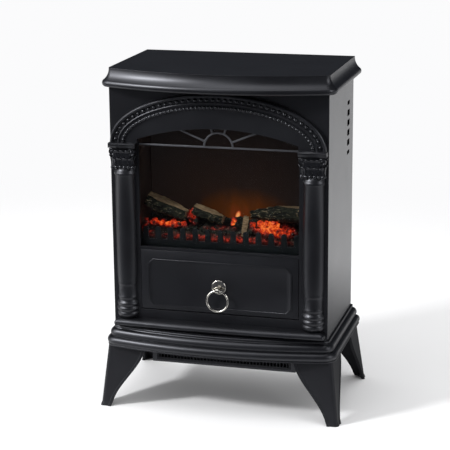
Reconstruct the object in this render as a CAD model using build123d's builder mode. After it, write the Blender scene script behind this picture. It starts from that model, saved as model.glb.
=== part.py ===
import os
from math import cos, radians, sin

from build123d import *

os.makedirs("parts", exist_ok=True)

# Free-standing electric stove heater. Millimetres, +Z up, front faces -Y.
# The origin is on the floor, under the middle of the stove's outer box.

# ---------------------------------------------------------------- envelope
overall_height = 600.0
body_width = 380.0
body_depth = 210.0
corner_radius = 9.0
sheet = 1.5
skin = 3.0
running_gap = 0.05
moving_gap = 0.6
axial_play = 0.3

# ---------------------------------------------------------------- lid
lid_height = 31.0
lid_bow = 36.0
lid_reach = 13.0
lid_back = 5.0
lid_ledge = 5.0

# ---------------------------------------------------------------- base moulding and legs
leg_height = 109.5
base_height = 35.5
base_bow = 22.0
base_reach = 16.0
base_back = 5.0
base_ledge = 4.0
leg_wall = 4.0
leg_top_out = 11.0
leg_rear_out = 4.5
leg_ankle_out = 22.5
toe_out_x = 26.0
toe_front_out = 25.0
toe_rear_out = 29.0
toe_height = 7.0
leg_arm = 68.0
foot_arm = 20.0
leg_corner_radius = 6.0
leg_rim_width = 4.5
leg_rim_height = 1.2
foot_plate = 3.0

# ---------------------------------------------------------------- front panel
panel_thick = 6.0
column_inset = 25.0
column_width = 40.0
window_inset = 50.0
window_spring = 7.0
window_rise = 23.0
window_strip = 4.8
arch_drop = 6.0
arch_rise = 89.0
arch_width = 25.2
arch_proud = 12.0
arch_roll = 3.0
arch_band = 7.5
arch_band_drop = 3.5
arch_bead = 1.6
arch_pearl = 2.4
arch_pearl_drop = 0.6
arch_land = 1.0
cove_proud = 7.0
glass_thick = 3.0
glass_lap = 3.0
glass_side_gap = 2.0
glass_top_lap = 8.0
clip_width = 14.0
clip_rise = 8.0
clip_lip = 5.0
clip_spread = 110.0
glazing_bar = 3.0
glazing_depth = 3.0
fan_radius = 25.0
fan_drop = 10.5

# ---------------------------------------------------------------- sill and columns
sill_thick = 10.0
sill_neck = 5.0
sill_proud = 18.0
sill_bow = 6.0
sill_side_gap = 3.0
sill_round = 3.6
reed_radius = 10.3
reed_pitch = 19.4
reed_proud = 14.0
bulb_radius = 20.5
bulb_proud = 17.5
bulb_height = 25.5
collar_height = 32.0
neck_height = 24.0
capital_height = 42.0
capital_width = 48.0
capital_proud = 17.0
abacus_height = 8.0

# ---------------------------------------------------------------- drop-down control door
door_rise = 33.6
door_height = 107.4
door_thick = 6.0
door_skin = 2.5
door_rim = 4.0
door_inset = 0.5
door_pin_radius = 1.5
door_pin_grip = 7.0
border_inset_x = 11.0
border_inset_low = 7.0
border_inset_high = 16.0
border_notch = 10.0
border_width = 3.0
border_proud = 1.5

# ---------------------------------------------------------------- ring pull
boss_radius = 12.7
boss_thick = 2.5
boss_height = 48.5
ring_radius = 18.5
ring_wire = 1.85
ring_standoff = 11.5
ring_clear = 0.45
eye_width = 5.0
eye_drop = 3.5
eye_wall = 2.2

# ---------------------------------------------------------------- firebox
chamber_inset = 40.0
chamber_depth = 128.0
chamber_headroom = 28.0
fret_gap = 2.0
fret_teeth = 13
fret_thick = 2.5
fret_band = 14.5
fret_tooth_height = 22.0
fret_tooth_width = 11.3
fret_pitch = 22.3
ember_front = 14.0
ember_depth = 70.0
ember_low = 22.0
ember_high = 44.0
ember_dip = 3.0
ember_skin = 2.5
screen_offset = 92.0
screen_thick = 2.0
spindle_offset = 112.0
spindle_height = 38.0
spindle_radius = 2.0
vane_reach = 11.0
vane_length = 14.0
vane_thick = 0.8
vane_count = 14
vane_twist_angle = 52.0
spindle_bearing_size = 16.0
spindle_bearing_length = 10.0
spindle_motor_radius = 16.0
spindle_motor_length = 14.0
light_length = 220.0
light_width = 12.0
light_count = 8
light_board = 1.6
light_chip = 5.0
light_chip_height = 1.5

# ---------------------------------------------------------------- control tray
tray_wall = 2.0
tray_depth = 34.0
switch_pitch = 34.0
switch_start = -96.0
switch_count = 3
switch_height = 54.0
switch_width = 15.0
switch_tall = 22.0
switch_deep = 16.0
switch_flange = 1.5
rocker_width = 10.0
rocker_tall = 15.6
rocker_tilt = 8.0
rocker_pin_radius = 1.5
rocker_edge = 1.2
rocker_heel = 3.0
rocker_heel_half = 2.5
thermostat_x = 72.0
knob_radius = 17.0
knob_height = 13.0
knob_grip = 5.0
thermostat_size = 34.0
thermostat_deep = 20.0
stem_radius = 3.0

# ---------------------------------------------------------------- heater
heater_width = 259.0
heater_setback = 22.0
heater_depth = 108.0
heater_floor_z = 75.0
grille_bar = 1.6
grille_pitch = 6.0
grille_depth = 3.0
grille_rim = 4.0
grille_margin = 4.0
heater_flange = 8.0
inlet_margin = 20.0
wheel_radius = 27.0
wheel_end_gap = 8.0
wheel_disc = 1.5
blade_count = 24
blade_depth = 7.0
blade_thick = 1.0
blade_sweep = 30.0
wheel_shaft_radius = 3.0
wheel_floor_gap = 6.0
wheel_back_gap = 8.0
blower_bearing_size = 18.0
blower_bearing_length = 8.0
blower_motor_radius = 21.0
blower_motor_length = 38.0
element_length = 190.0
element_tall = 26.0
element_deep = 14.0
element_offset = 9.0
element_bar = 1.2
element_rows = 3
fin_pitch = 11.0
fin_thick = 0.6
cutout_radius = 8.0
cutout_height = 6.0

# ---------------------------------------------------------------- rear and side openings
vent_count = 6
vent_pitch = 17.5
vent_tall = 10.5
vent_short = 7.0
vent_width = 20.0
vent_from_back = 43.0
vent_from_top = 43.0
rear_slot_width = 60.0
rear_slot_tall = 4.0
rear_slot_pitch = 11.0
rear_slot_count = 8
rear_slot_rise = 250.0
flange = 14.0
gland_x = -120.0
gland_rise = 45.0
gland_bore = 3.6
gland_radius = 8.5
gland_length = 16.0
gland_flange_radius = 11.5
gland_flange = 3.0
screw_radius = 1.6
screw_head_radius = 3.6
screw_head = 2.0
screw_length = 4.0
screw_inset = 8.0
screw_end_inset = 20.0
screws_a_side = 4

# ---------------------------------------------------------------- levels and planes that follow
half_width = body_width / 2
base_top = leg_height + base_height
lid_z = overall_height - lid_height
front_reach = max(lid_bow + lid_reach, base_bow + base_reach, toe_front_out)
rear_reach = max(lid_back, base_back, toe_rear_out)
front_y = front_reach - (front_reach + body_depth + rear_reach) / 2
back_y = front_y + body_depth
panel_back = front_y + panel_thick
panel_half = half_width - sheet
deck_top = base_top + sheet
column_x = half_width - column_inset
window_half = half_width - window_inset
spring_z = lid_z - arch_drop - arch_rise
window_spring_z = spring_z + window_spring
sill_low = deck_top + sill_neck
sill_top = sill_low + sill_thick
door_low = base_top + door_rise
door_top = door_low + door_height
door_half = window_half - moving_gap
opening_low = door_low - moving_gap
opening_top = door_top + moving_gap
window_low = opening_top + window_strip
shelf_top = window_low - glass_lap
shelf_low = shelf_top - sheet
chamber_half = half_width - chamber_inset
chamber_back = panel_back + chamber_depth
chamber_top = window_spring_z + window_rise + chamber_headroom


def finish(name, build):
    """Label a finished piece and write it out."""
    build.part.label = name
    export_step(build.part, f"parts/{name}.step")


def front_plane(y):
    """Upright plane at y, facing the front: local X is the stove's X, local Y its Z."""
    return Plane.XZ.offset(-y)


def bowed_outline(reach, bow, back):
    """Plan outline of the body grown by reach, with a flat back and a bowed front."""
    side = half_width + reach
    front = front_y - reach
    with BuildSketch() as plan:
        with BuildLine():
            left = Line((-side, back), (-side, front))
            bow_arc = ThreePointArc(left @ 1, (0, front - bow), (side, front))
            right = Line(bow_arc @ 1, (side, back))
            Line(right @ 1, left @ 0)
        make_face()
        fillet(plan.vertices().sort_by(Axis.Y)[:2], corner_radius + reach)
    return plan.sketch


def moulding_path(bow, back):
    """The body's plan line that a moulding runs along, from back left to back right."""
    with BuildLine() as run:
        left = Line((-half_width, back), (-half_width, front_y))
        bow_arc = ThreePointArc(left @ 1, (0, front_y - bow), (half_width, front_y))
        Line(bow_arc @ 1, (half_width, back))
        fillet(run.vertices().sort_by(Axis.Y)[:2], corner_radius)
    return run.wire()


def moulding_plane(back):
    """Section plane at the left rear end of a moulding: local X outwards, local Y up."""
    return Plane(origin=(-half_width, back, 0), x_dir=(-1, 0, 0), z_dir=(0, 1, 0))


def window_outline(shrink=0.0):
    """The arched window opening, drawn on an upright plane."""
    half = window_half - shrink
    crown = window_spring_z + window_rise - shrink
    with BuildSketch() as opening:
        with BuildLine():
            sill_line = Line((-half, window_low), (half, window_low))
            right = Line(sill_line @ 1, (half, window_spring_z))
            arch = ThreePointArc(right @ 1, (0, crown), (-half, window_spring_z))
            Line(arch @ 1, sill_line @ 0)
        make_face()
    return opening.sketch


# ================================================================ lid
def lid_point(out, up):
    return (lid_reach * out, lid_z + lid_height * up)


lid_back_y = back_y + lid_back
lid_inside = lid_z + skin
with BuildPart() as lid:
    with BuildSketch(moulding_plane(lid_back_y)):
        with BuildLine():
            top_edge = Line((-lid_ledge, overall_height), lid_point(0.08, 1.0))
            cove = ThreePointArc(top_edge @ 1, lid_point(0.26, 0.62), lid_point(0.74, 0.36))
            lip = ThreePointArc(cove @ 1, lid_point(1.0, 0.18), lid_point(0.78, 0.0))
            under = Line(lip @ 1, (-lid_ledge, lid_z))
            Line(under @ 1, top_edge @ 0)
        make_face()
    sweep(path=moulding_path(lid_bow, lid_back_y))
    with BuildSketch(moulding_plane(lid_back_y - skin)):
        with BuildLine():
            ledge_top = Line((-lid_ledge, lid_inside), (lid_reach * 0.7, lid_inside))
            inner_lip = Line(ledge_top @ 1, lid_point(0.6, 0.24))
            inner_cove = Line(inner_lip @ 1, (0, overall_height - 2 * skin))
            inner_top = Line(inner_cove @ 1, (-lid_ledge, overall_height - skin))
            Line(inner_top @ 1, ledge_top @ 0)
        make_face()
    sweep(path=moulding_path(lid_bow, lid_back_y - skin), mode=Mode.SUBTRACT)
    with BuildSketch(Plane.XY.offset(overall_height - skin)):
        add(bowed_outline(-lid_ledge / 2, lid_bow, lid_back_y))
    extrude(amount=skin)
    with BuildSketch(Plane.YZ.offset(-half_width)):
        with BuildLine():
            Polyline(
                (back_y - lid_ledge, lid_z),
                (lid_back_y, lid_z),
                (lid_back_y, overall_height),
                (lid_back_y - skin, overall_height),
                (lid_back_y - skin, lid_inside),
                (back_y - lid_ledge, lid_inside),
                close=True,
            )
        make_face()
    extrude(amount=body_width)
finish("lid", lid)


# ================================================================ base moulding
def base_point(out, up):
    return (base_reach * out, leg_height + base_height * up)


base_back_y = back_y + base_back
base_floor = leg_height + skin
with BuildPart() as base_moulding:
    with BuildSketch(moulding_plane(base_back_y)):
        with BuildLine():
            top = Line((-base_ledge, base_top), base_point(0.1, 1.0))
            fine_bead = ThreePointArc(top @ 1, base_point(0.2, 0.94), base_point(0.13, 0.88))
            neck = Line(fine_bead @ 1, base_point(0.18, 0.85))
            upper_bead = ThreePointArc(neck @ 1, base_point(0.62, 0.67), base_point(0.54, 0.46))
            lower_bead = ThreePointArc(upper_bead @ 1, base_point(1.0, 0.27), base_point(0.86, 0.08))
            lip = Line(lower_bead @ 1, base_point(0.93, 0.06))
            foot = Line(lip @ 1, base_point(0.93, 0.0))
            under = Line(foot @ 1, (-base_ledge, leg_height))
            Line(under @ 1, top @ 0)
        make_face()
    sweep(path=moulding_path(base_bow, base_back_y))
    with BuildSketch(moulding_plane(base_back_y - skin)):
        with BuildLine():
            floor_line = Line((-base_ledge, base_floor), (base_reach * 0.64, base_floor))
            bead_inside = Line(floor_line @ 1, base_point(0.72, 0.3))
            waist_inside = Line(bead_inside @ 1, base_point(0.22, 0.52))
            upper_inside = Line(waist_inside @ 1, base_point(0.0, 0.8))
            neck_inside = Line(upper_inside @ 1, (-base_ledge, base_top - skin))
            Line(neck_inside @ 1, floor_line @ 0)
        make_face()
    sweep(path=moulding_path(base_bow, base_back_y - skin), mode=Mode.SUBTRACT)
    with BuildSketch(Plane.YZ.offset(-half_width)):
        with BuildLine():
            Polyline(
                (back_y - base_ledge, leg_height),
                (base_back_y, leg_height),
                (base_back_y, base_top),
                (back_y - base_ledge, base_top),
                (back_y - base_ledge, base_top - skin),
                (base_back_y - skin, base_top - skin),
                (base_back_y - skin, base_floor),
                (back_y - base_ledge, base_floor),
                close=True,
            )
        make_face()
    extrude(amount=body_width)
finish("base_moulding", base_moulding)

# ================================================================ base deck
inlet_half = heater_width / 2 - inlet_margin
heater_front = front_y + heater_setback
heater_back = heater_front + heater_depth
inlet_y = heater_front + heater_depth * 0.62
inlet_depth = heater_depth * 0.42
with BuildPart() as base_deck:
    with BuildSketch(Plane.XY.offset(base_top)):
        add(bowed_outline(0, base_bow, back_y))
        with Locations((0, inlet_y)):
            Rectangle(2 * inlet_half, inlet_depth, mode=Mode.SUBTRACT)
    extrude(amount=sheet)
finish("base_deck", base_deck)

# ================================================================ legs
def leg_section(side, fore, height, out_x, out_y):
    """L section of a corner leg at one height, with a raised rim along each arm's free edge."""
    share = height / leg_height
    arm = foot_arm + (leg_arm - foot_arm) * share * share * (3 - 2 * share)
    corner_y = front_y if fore < 0 else back_y
    rim_start = arm - leg_rim_width
    inward = [
        (0, 0),
        (rim_start - leg_rim_height, 0),
        (rim_start, -leg_rim_height),
        (arm, -leg_rim_height),
        (arm, leg_wall),
        (leg_wall, leg_wall),
        (leg_wall, arm),
        (-leg_rim_height, arm),
        (-leg_rim_height, rim_start),
        (0, rim_start - leg_rim_height),
    ]
    points = [(side * (half_width + out_x - u), corner_y + fore * (out_y - v)) for u, v in inward]
    with BuildSketch(Plane.XY.offset(height)) as section:
        with BuildLine():
            Polyline(*points, close=True)
        make_face()
        corner = section.vertices().sort_by_distance((points[0][0], points[0][1], height))[0]
        fillet(corner, leg_corner_radius)
    return section.sketch


leg_stations = [toe_height] + [leg_height * share for share in (0.2, 0.38, 0.58, 0.78, 1.0)]
for name, side, fore in [
    ("front_left_leg", -1, -1),
    ("front_right_leg", 1, -1),
    ("rear_left_leg", -1, 1),
    ("rear_right_leg", 1, 1),
]:
    top_out_y = leg_top_out if fore < 0 else leg_rear_out
    corner_y = front_y if fore < 0 else back_y
    toe_out_y = toe_front_out if fore < 0 else toe_rear_out
    ankle_out_y = leg_ankle_out * toe_out_y / toe_out_x
    with BuildPart() as leg:
        for height in leg_stations:
            rise = (height - toe_height) / (leg_height - toe_height)
            out_x = leg_ankle_out + (leg_top_out - leg_ankle_out) * rise
            out_y = ankle_out_y + (top_out_y - ankle_out_y) * rise
            add(leg_section(side, fore, height, out_x, out_y))
        loft()
        add(leg_section(side, fore, 0, toe_out_x - leg_rim_height, toe_out_y - leg_rim_height))
        add(leg_section(side, fore, toe_height, leg_ankle_out, ankle_out_y))
        loft(ruled=True)
        for level, reach_x, reach_y, web in [
            (0, toe_out_x - leg_rim_height, toe_out_y - leg_rim_height, foot_arm),
            (leg_height - foot_plate, leg_top_out, top_out_y, leg_arm * 0.7),
        ]:
            near_x = side * (half_width + reach_x - leg_wall / 2)
            near_y = corner_y + fore * (reach_y - leg_wall / 2)
            with BuildSketch(Plane.XY.offset(level)):
                with BuildLine():
                    Polyline(
                        (near_x, near_y),
                        (near_x - side * (web - leg_wall), near_y),
                        (near_x, near_y - fore * (web - leg_wall)),
                        close=True,
                    )
                make_face()
            extrude(amount=foot_plate)
    finish(name, leg)

# ================================================================ side panels
screw_first = base_top + screw_end_inset
screw_spacing = (lid_z - base_top - 2 * screw_end_inset) / (screws_a_side - 1)
screw_levels = [screw_first + step * screw_spacing for step in range(screws_a_side)]
vent_z = lid_z - vent_from_top
vent_y = back_y - vent_from_back
for name, side in [("left_side_panel", -1), ("right_side_panel", 1)]:
    inner = side * (half_width - sheet)
    tip = side * (half_width - sheet - flange)
    outer = side * half_width
    with BuildPart() as side_panel:
        with BuildSketch(Plane.XY.offset(deck_top)):
            with BuildLine():
                Polyline(
                    (outer, front_y),
                    (outer, back_y),
                    (tip, back_y),
                    (tip, back_y - sheet),
                    (inner, back_y - sheet),
                    (inner, panel_back + sheet),
                    (tip, panel_back + sheet),
                    (tip, panel_back),
                    (inner, panel_back),
                    (inner, front_y),
                    close=True,
                )
            make_face()
        extrude(amount=lid_z - deck_top)
        with BuildSketch(Plane.YZ.offset(inner)):
            for slot in range(vent_count):
                tall = vent_short if slot in (0, vent_count - 1) else vent_tall
                with Locations((vent_y, vent_z - slot * vent_pitch)):
                    RectangleRounded(vent_width, tall, 1.5)
        extrude(amount=side * sheet, mode=Mode.SUBTRACT)
        with BuildSketch(front_plane(back_y)):
            with Locations((side * (half_width - screw_inset), 0)):
                with Locations(*[(0, z) for z in screw_levels]):
                    Circle(screw_radius + running_gap)
        extrude(amount=sheet, mode=Mode.SUBTRACT)
    finish(name, side_panel)


# ================================================================ rear cover, its screws and the cord gland
gland_z = base_top + gland_rise
cover_back = back_y + sheet
with BuildPart() as rear_cover:
    with BuildSketch(front_plane(back_y)):
        with Locations((0, (base_top + lid_z) / 2)):
            Rectangle(2 * (half_width - 0.5), lid_z - base_top)
        for row in range(rear_slot_count):
            with Locations((0, base_top + rear_slot_rise + row * rear_slot_pitch)):
                with GridLocations(rear_slot_width * 1.3, 0, 3, 1):
                    SlotOverall(rear_slot_width, rear_slot_tall, mode=Mode.SUBTRACT)
        with Locations((gland_x, gland_z)):
            Circle(gland_radius, mode=Mode.SUBTRACT)
        with Locations(*[(side * (half_width - screw_inset), z) for side in (-1, 1) for z in screw_levels]):
            Circle(screw_radius + running_gap, mode=Mode.SUBTRACT)
    extrude(amount=-sheet)
finish("rear_cover", rear_cover)

with BuildPart() as rear_screws:
    for side in (-1, 1):
        for z in screw_levels:
            with BuildSketch(front_plane(cover_back)):
                with Locations((side * (half_width - screw_inset), z)):
                    Circle(screw_head_radius)
            extrude(amount=-screw_head)
            with BuildSketch(front_plane(cover_back)):
                with Locations((side * (half_width - screw_inset), z)):
                    Circle(screw_radius)
            extrude(amount=screw_length)
finish("rear_screws", rear_screws)

with BuildPart() as cord_gland:
    with BuildSketch(front_plane(cover_back)):
        with Locations((gland_x, gland_z)):
            Circle(gland_flange_radius)
    extrude(amount=-gland_flange)
    fillet(cord_gland.edges().filter_by(GeomType.CIRCLE).group_by(Axis.Y)[-1], gland_flange / 2)
    with BuildSketch(front_plane(cover_back)):
        with Locations((gland_x, gland_z)):
            Circle(gland_radius)
    extrude(amount=gland_length - gland_flange)
    with BuildSketch(front_plane(cover_back + gland_flange)):
        with Locations((gland_x, gland_z)):
            Circle(gland_bore)
    extrude(amount=gland_length, mode=Mode.SUBTRACT)
finish("cord_gland", cord_gland)

# ================================================================ sill
sill_half = half_width - sill_side_gap
neck_half = sill_half - 2 * sill_side_gap
with BuildPart() as sill:
    with BuildSketch(Plane.XY.offset(deck_top)):
        with BuildLine():
            rear = Line((neck_half, front_y), (-neck_half, front_y))
            ThreePointArc(rear @ 1, (0, front_y - base_bow + sill_side_gap), rear @ 0)
        make_face()
    extrude(amount=sill_neck)
    with BuildSketch(Plane.XY.offset(sill_low)) as slab_plan:
        with BuildLine():
            rear = Line((sill_half, front_y), (-sill_half, front_y))
            left = Line(rear @ 1, (-sill_half, front_y - sill_proud))
            sill_crown = (0, front_y - sill_proud - sill_bow)
            bow_arc = ThreePointArc(left @ 1, sill_crown, (sill_half, front_y - sill_proud))
            Line(bow_arc @ 1, rear @ 0)
        make_face()
        fillet(slab_plan.vertices().sort_by(Axis.Y)[:2], corner_radius / 2)
    extrude(amount=sill_thick)
    fillet(sill.edges().group_by(Axis.Z)[-1].sort_by(Axis.Y)[:-1], sill_round)
finish("sill", sill)

# ================================================================ front panel
pin_y = front_y - door_inset + door_thick / 2
pin_z = door_low + door_thick / 2
with BuildPart() as front_panel:
    with BuildSketch(front_plane(front_y)):
        with Locations((0, (deck_top + lid_z) / 2)):
            Rectangle(2 * panel_half, lid_z - deck_top)
        with Locations((0, (opening_low + opening_top) / 2)):
            Rectangle(2 * window_half, opening_top - opening_low, mode=Mode.SUBTRACT)
        add(window_outline(), mode=Mode.SUBTRACT)
    extrude(amount=-panel_thick)
    with BuildSketch(Plane.YZ.offset(-window_half - door_pin_grip)):
        with Locations((pin_y, pin_z)):
            Circle(door_pin_radius)
    extrude(amount=2 * (window_half + door_pin_grip), mode=Mode.SUBTRACT)
finish("front_panel", front_panel)

# ================================================================ arch over the window
arch_a = panel_half - arch_width / 2 - arch_land
arch_b = arch_rise - arch_width / 2


def arch_section(points):
    """Section of the arch at its right-hand foot: first value outwards, second towards the front."""
    springing = Plane(origin=(arch_a, front_y, spring_z), x_dir=(1, 0, 0), z_dir=(0, 0, 1))
    with BuildSketch(springing) as section:
        with BuildLine():
            Polyline(*[(u, -v) for u, v in points], close=True)
        make_face()
    return section.sketch


def bead(centre, low, radius, steps=6):
    """Points of a half-round bead, from its outer side to its inner side."""
    turns = [180.0 * step / steps for step in range(steps + 1)]
    return [(centre + radius * cos(radians(t)), low + radius * sin(radians(t))) for t in turns]


def arch_path():
    """Half ellipse that the arch moulding follows, from right to left."""
    with BuildLine(front_plane(front_y)) as run:
        EllipticalCenterArc((0, spring_z), arch_a, arch_b, arc_size=180)
    return run.wire()


arch_half = arch_width / 2
band_proud = arch_proud - arch_band_drop
band_outer = arch_half - 2 * arch_roll
band_inner = band_outer - arch_band
with BuildPart() as arch_moulding:
    profile = [(arch_half, 0)]
    profile += bead(arch_half - arch_roll, arch_proud - arch_roll, arch_roll)
    profile += [(band_outer, band_proud)]
    profile += bead(band_inner - arch_bead, band_proud, arch_bead, 4)
    profile += bead(-arch_half + arch_pearl, band_proud - arch_pearl_drop, arch_pearl)
    profile += [(-arch_half, 0)]
    add(arch_section(profile))
    sweep(path=arch_path())
finish("arch_moulding", arch_moulding)

# ================================================================ cove between arch and window
cove_edge = 0.8
cove_land = 2.0


def cove_outline(spread, proud):
    """Opening of the cove: the window arch at spread 0, a larger half ellipse at spread 1."""
    inner_a = arch_a - arch_half - cove_land
    inner_b = arch_b - arch_half - cove_land
    arch_r = (window_half**2 + window_rise**2) / (2 * window_rise)
    points = []
    for step in range(13):
        turn = radians(15.0 * step)
        flat_x = window_half * cos(turn)
        flat_z = window_spring_z + (arch_r**2 - flat_x**2) ** 0.5 - (arch_r - window_rise)
        round_x = inner_a * cos(turn)
        round_z = spring_z + inner_b * sin(turn)
        points.append((flat_x + (round_x - flat_x) * spread, flat_z + (round_z - flat_z) * spread))
    with BuildSketch(front_plane(front_y - proud)) as outline:
        with BuildLine():
            over = Spline(*points)
            left = Line(over @ 1, (points[-1][0], spring_z - sheet))
            base = Line(left @ 1, (points[0][0], spring_z - sheet))
            Line(base @ 1, over @ 0)
        make_face()
    return outline.sketch


with BuildPart() as arch_cove:
    with BuildSketch(front_plane(front_y)):
        with BuildLine():
            over = EllipticalCenterArc((0, spring_z), arch_a, arch_b, arc_size=180)
            Line(over @ 1, over @ 0)
        make_face()
    extrude(amount=cove_proud)
    arch_room = [(arch_half, -1), (arch_half, arch_proud), (-arch_half, arch_proud), (-arch_half, -1)]
    add(arch_section(arch_room))
    sweep(path=arch_path(), mode=Mode.SUBTRACT)
    with BuildSketch(front_plane(front_y)):
        add(window_outline())
    extrude(amount=cove_proud, mode=Mode.SUBTRACT)
    for step in range(7):
        spread = sin(radians(15.0 * step))
        rise = 1 - cos(radians(15.0 * step))
        add(cove_outline(spread, cove_edge + rise * (cove_proud - cove_edge)))
    loft(ruled=True, mode=Mode.SUBTRACT)
finish("arch_cove", arch_cove)

# ================================================================ columns
bulb_top = sill_top + bulb_height
collar_top = bulb_top + collar_height
neck_top = collar_top + neck_height
capital_low = spring_z - capital_height
bell_top = spring_z - abacus_height


def turned(axis_x, axis_y, profile):
    """Solid turned about an upright axis from (radius, height) points, cut flat at the panel."""
    with BuildPart() as turning:
        with BuildSketch(Plane(origin=(axis_x, axis_y, 0), x_dir=(1, 0, 0), z_dir=(0, -1, 0))):
            with BuildLine():
                Polyline((0, profile[0][1]), *profile, (0, profile[-1][1]), close=True)
            make_face()
        revolve(axis=Axis((axis_x, axis_y, 0), (0, 0, 1)))
        split(bisect_by=front_plane(front_y), keep=Keep.TOP)
    return turning.part


def ring(low, tall, core, proud):
    """Half-round ring on a turned profile."""
    return [(core + proud * sin(radians(30.0 * step)), low + tall * (1 - cos(radians(30.0 * step))) / 2)
            for step in range(7)]


core_radius = reed_radius - 1.0
reed_profile = [(core_radius, bulb_top)]
for place in (0.28, 0.55, 0.87):
    reed_profile += ring(bulb_top + collar_height * place - 4, 8, core_radius, 2.2)
reed_profile += [(core_radius, collar_top + 0.5), (core_radius - 0.6, neck_top - 1)]
reed_profile += ring(neck_top, 4, core_radius, 1.6)
reed_profile += [(reed_radius, neck_top + 6)]
reed_profile += ring(capital_low - 16, 6, reed_radius, 1.5)
reed_profile += [(core_radius, capital_low - 9), (core_radius, capital_low - 1)]
bulb_profile = [(bulb_radius - 2.5, sill_top), (bulb_radius - 2.5, sill_top + 3)]
bulb_profile += ring(sill_top + 3, bulb_height - 5, bulb_radius - 5.5, 5.5)
bulb_profile += [(bulb_radius - 6.0, bulb_top)]
for name, side in [("left_column", -1), ("right_column", 1)]:
    with BuildPart() as column:
        for reed in (-1, 1):
            reed_x = side * column_x + reed * reed_pitch / 2
            add(turned(reed_x, front_y - reed_proud + reed_radius, reed_profile))
        add(turned(side * column_x, front_y - bulb_proud + bulb_radius, bulb_profile))
        for share in (0.0, 0.3, 0.6, 0.85, 1.0):
            swell = share**2
            wide = column_width + (capital_width - 3 - column_width) * swell
            proud = reed_proud - 0.5 + (capital_proud - 1.5 - reed_proud + 0.5) * swell
            with BuildSketch(Plane.XY.offset(capital_low - 1 + (bell_top - capital_low + 1) * share)):
                with BuildLine():
                    Polyline(
                        (side * column_x - wide / 2, front_y),
                        (side * column_x - wide / 2, front_y - proud + 5),
                        (side * column_x - wide / 2 + 5, front_y - proud),
                        (side * column_x + wide / 2 - 5, front_y - proud),
                        (side * column_x + wide / 2, front_y - proud + 5),
                        (side * column_x + wide / 2, front_y),
                        close=True,
                    )
                make_face()
        loft()
        with BuildSketch(Plane.XY.offset(bell_top)):
            with Locations((side * column_x, front_y - capital_proud / 2)):
                Rectangle(capital_width, capital_proud)
        extrude(amount=abacus_height)
        chamfer(column.edges().group_by(Axis.Z)[-1].sort_by(Axis.Y)[0], 1.5)
    finish(name, column)

# ================================================================ window glass, its clips, the fanlight
glass_back = panel_back + glass_thick
glass_half = chamber_half - glass_side_gap
glass_top = window_spring_z + window_rise + glass_top_lap
with BuildPart() as window_glass:
    with BuildSketch(front_plane(panel_back)):
        with Locations((0, (shelf_top + glass_top) / 2)):
            Rectangle(2 * glass_half, glass_top - shelf_top)
    extrude(amount=-glass_thick)
finish("window_glass", window_glass)

with BuildPart() as glass_clips:
    with BuildSketch(front_plane(panel_back)):
        with Locations((0, glass_top + clip_rise / 2)):
            with GridLocations(clip_spread, 0, 3, 1):
                Rectangle(clip_width, clip_rise)
    extrude(amount=-glass_thick - sheet)
    with BuildSketch(front_plane(glass_back)):
        with Locations((0, glass_top - clip_lip / 2)):
            with GridLocations(clip_spread, 0, 3, 1):
                Rectangle(clip_width, clip_lip)
    extrude(amount=-sheet)
finish("glass_clips", glass_clips)

fan_z = window_spring_z - fan_drop
with BuildPart() as fanlight:
    with BuildSketch(front_plane(panel_back - glazing_depth)):
        with Locations((0, fan_z)):
            Circle(fan_radius + glazing_bar / 2)
            Circle(fan_radius - glazing_bar / 2, mode=Mode.SUBTRACT)
            for spoke in range(4):
                with PolarLocations(fan_radius + window_half / 2, 1, 22.5 + 45.0 * spoke):
                    Rectangle(window_half, glazing_bar)
            with Locations((0, -fan_radius)):
                Rectangle(4 * fan_radius, 2 * fan_radius, mode=Mode.SUBTRACT)
            Rectangle(2 * window_half, glazing_bar)
        add(window_outline(running_gap), mode=Mode.INTERSECT)
    extrude(amount=-glazing_depth)
finish("fanlight", fanlight)

# ================================================================ fret along the foot of the window
fret_front = glass_back + fret_gap
fret_half = chamber_half - glass_side_gap
band_top = shelf_top + fret_band
with BuildPart() as fret:
    with BuildSketch(front_plane(fret_front)):
        with Locations((0, (shelf_top + band_top) / 2)):
            Rectangle(2 * fret_half, band_top - shelf_top)
        for tooth in range(fret_teeth):
            tooth_x = (tooth - (fret_teeth - 1) / 2) * fret_pitch
            half = fret_tooth_width / 2
            with BuildLine():
                foot = Line((tooth_x + half, band_top - 1), (tooth_x - half, band_top - 1))
                left = Line(foot @ 1, (tooth_x - half * 0.8, band_top + fret_tooth_height * 0.7))
                tip = ThreePointArc(
                    left @ 1, (tooth_x, band_top + fret_tooth_height), (tooth_x + half * 0.8, (left @ 1).Y)
                )
                Line(tip @ 1, foot @ 0)
            make_face()
    extrude(amount=-fret_thick)
finish("fret", fret)

# ================================================================ firebox shell
spindle_y = front_y + spindle_offset
spindle_z = shelf_top + spindle_height
shell_half = chamber_half + sheet
with BuildPart() as fire_shelf:
    with BuildSketch(front_plane(panel_back)):
        with Locations((0, (shelf_low + shelf_top) / 2)):
            Rectangle(2 * shell_half, sheet)
    extrude(amount=-chamber_depth)
finish("fire_shelf", fire_shelf)

for name, side in [("left_cheek", -1), ("right_cheek", 1)]:
    with BuildPart() as cheek:
        with BuildSketch(front_plane(panel_back)):
            with Locations((side * (chamber_half + sheet / 2), (shelf_top + chamber_top) / 2)):
                Rectangle(sheet, chamber_top - shelf_top)
        extrude(amount=-chamber_depth)
    finish(name, cheek)

with BuildPart() as chamber_roof:
    with BuildSketch(front_plane(panel_back)):
        with Locations((0, chamber_top + sheet / 2)):
            Rectangle(2 * shell_half, sheet)
    extrude(amount=-chamber_depth)
finish("chamber_roof", chamber_roof)

with BuildPart() as reflector:
    with BuildSketch(front_plane(chamber_back)):
        with Locations((0, (shelf_low + chamber_top + sheet) / 2)):
            Rectangle(2 * shell_half, chamber_top + sheet - shelf_low)
    extrude(amount=-sheet)
finish("reflector", reflector)

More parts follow.
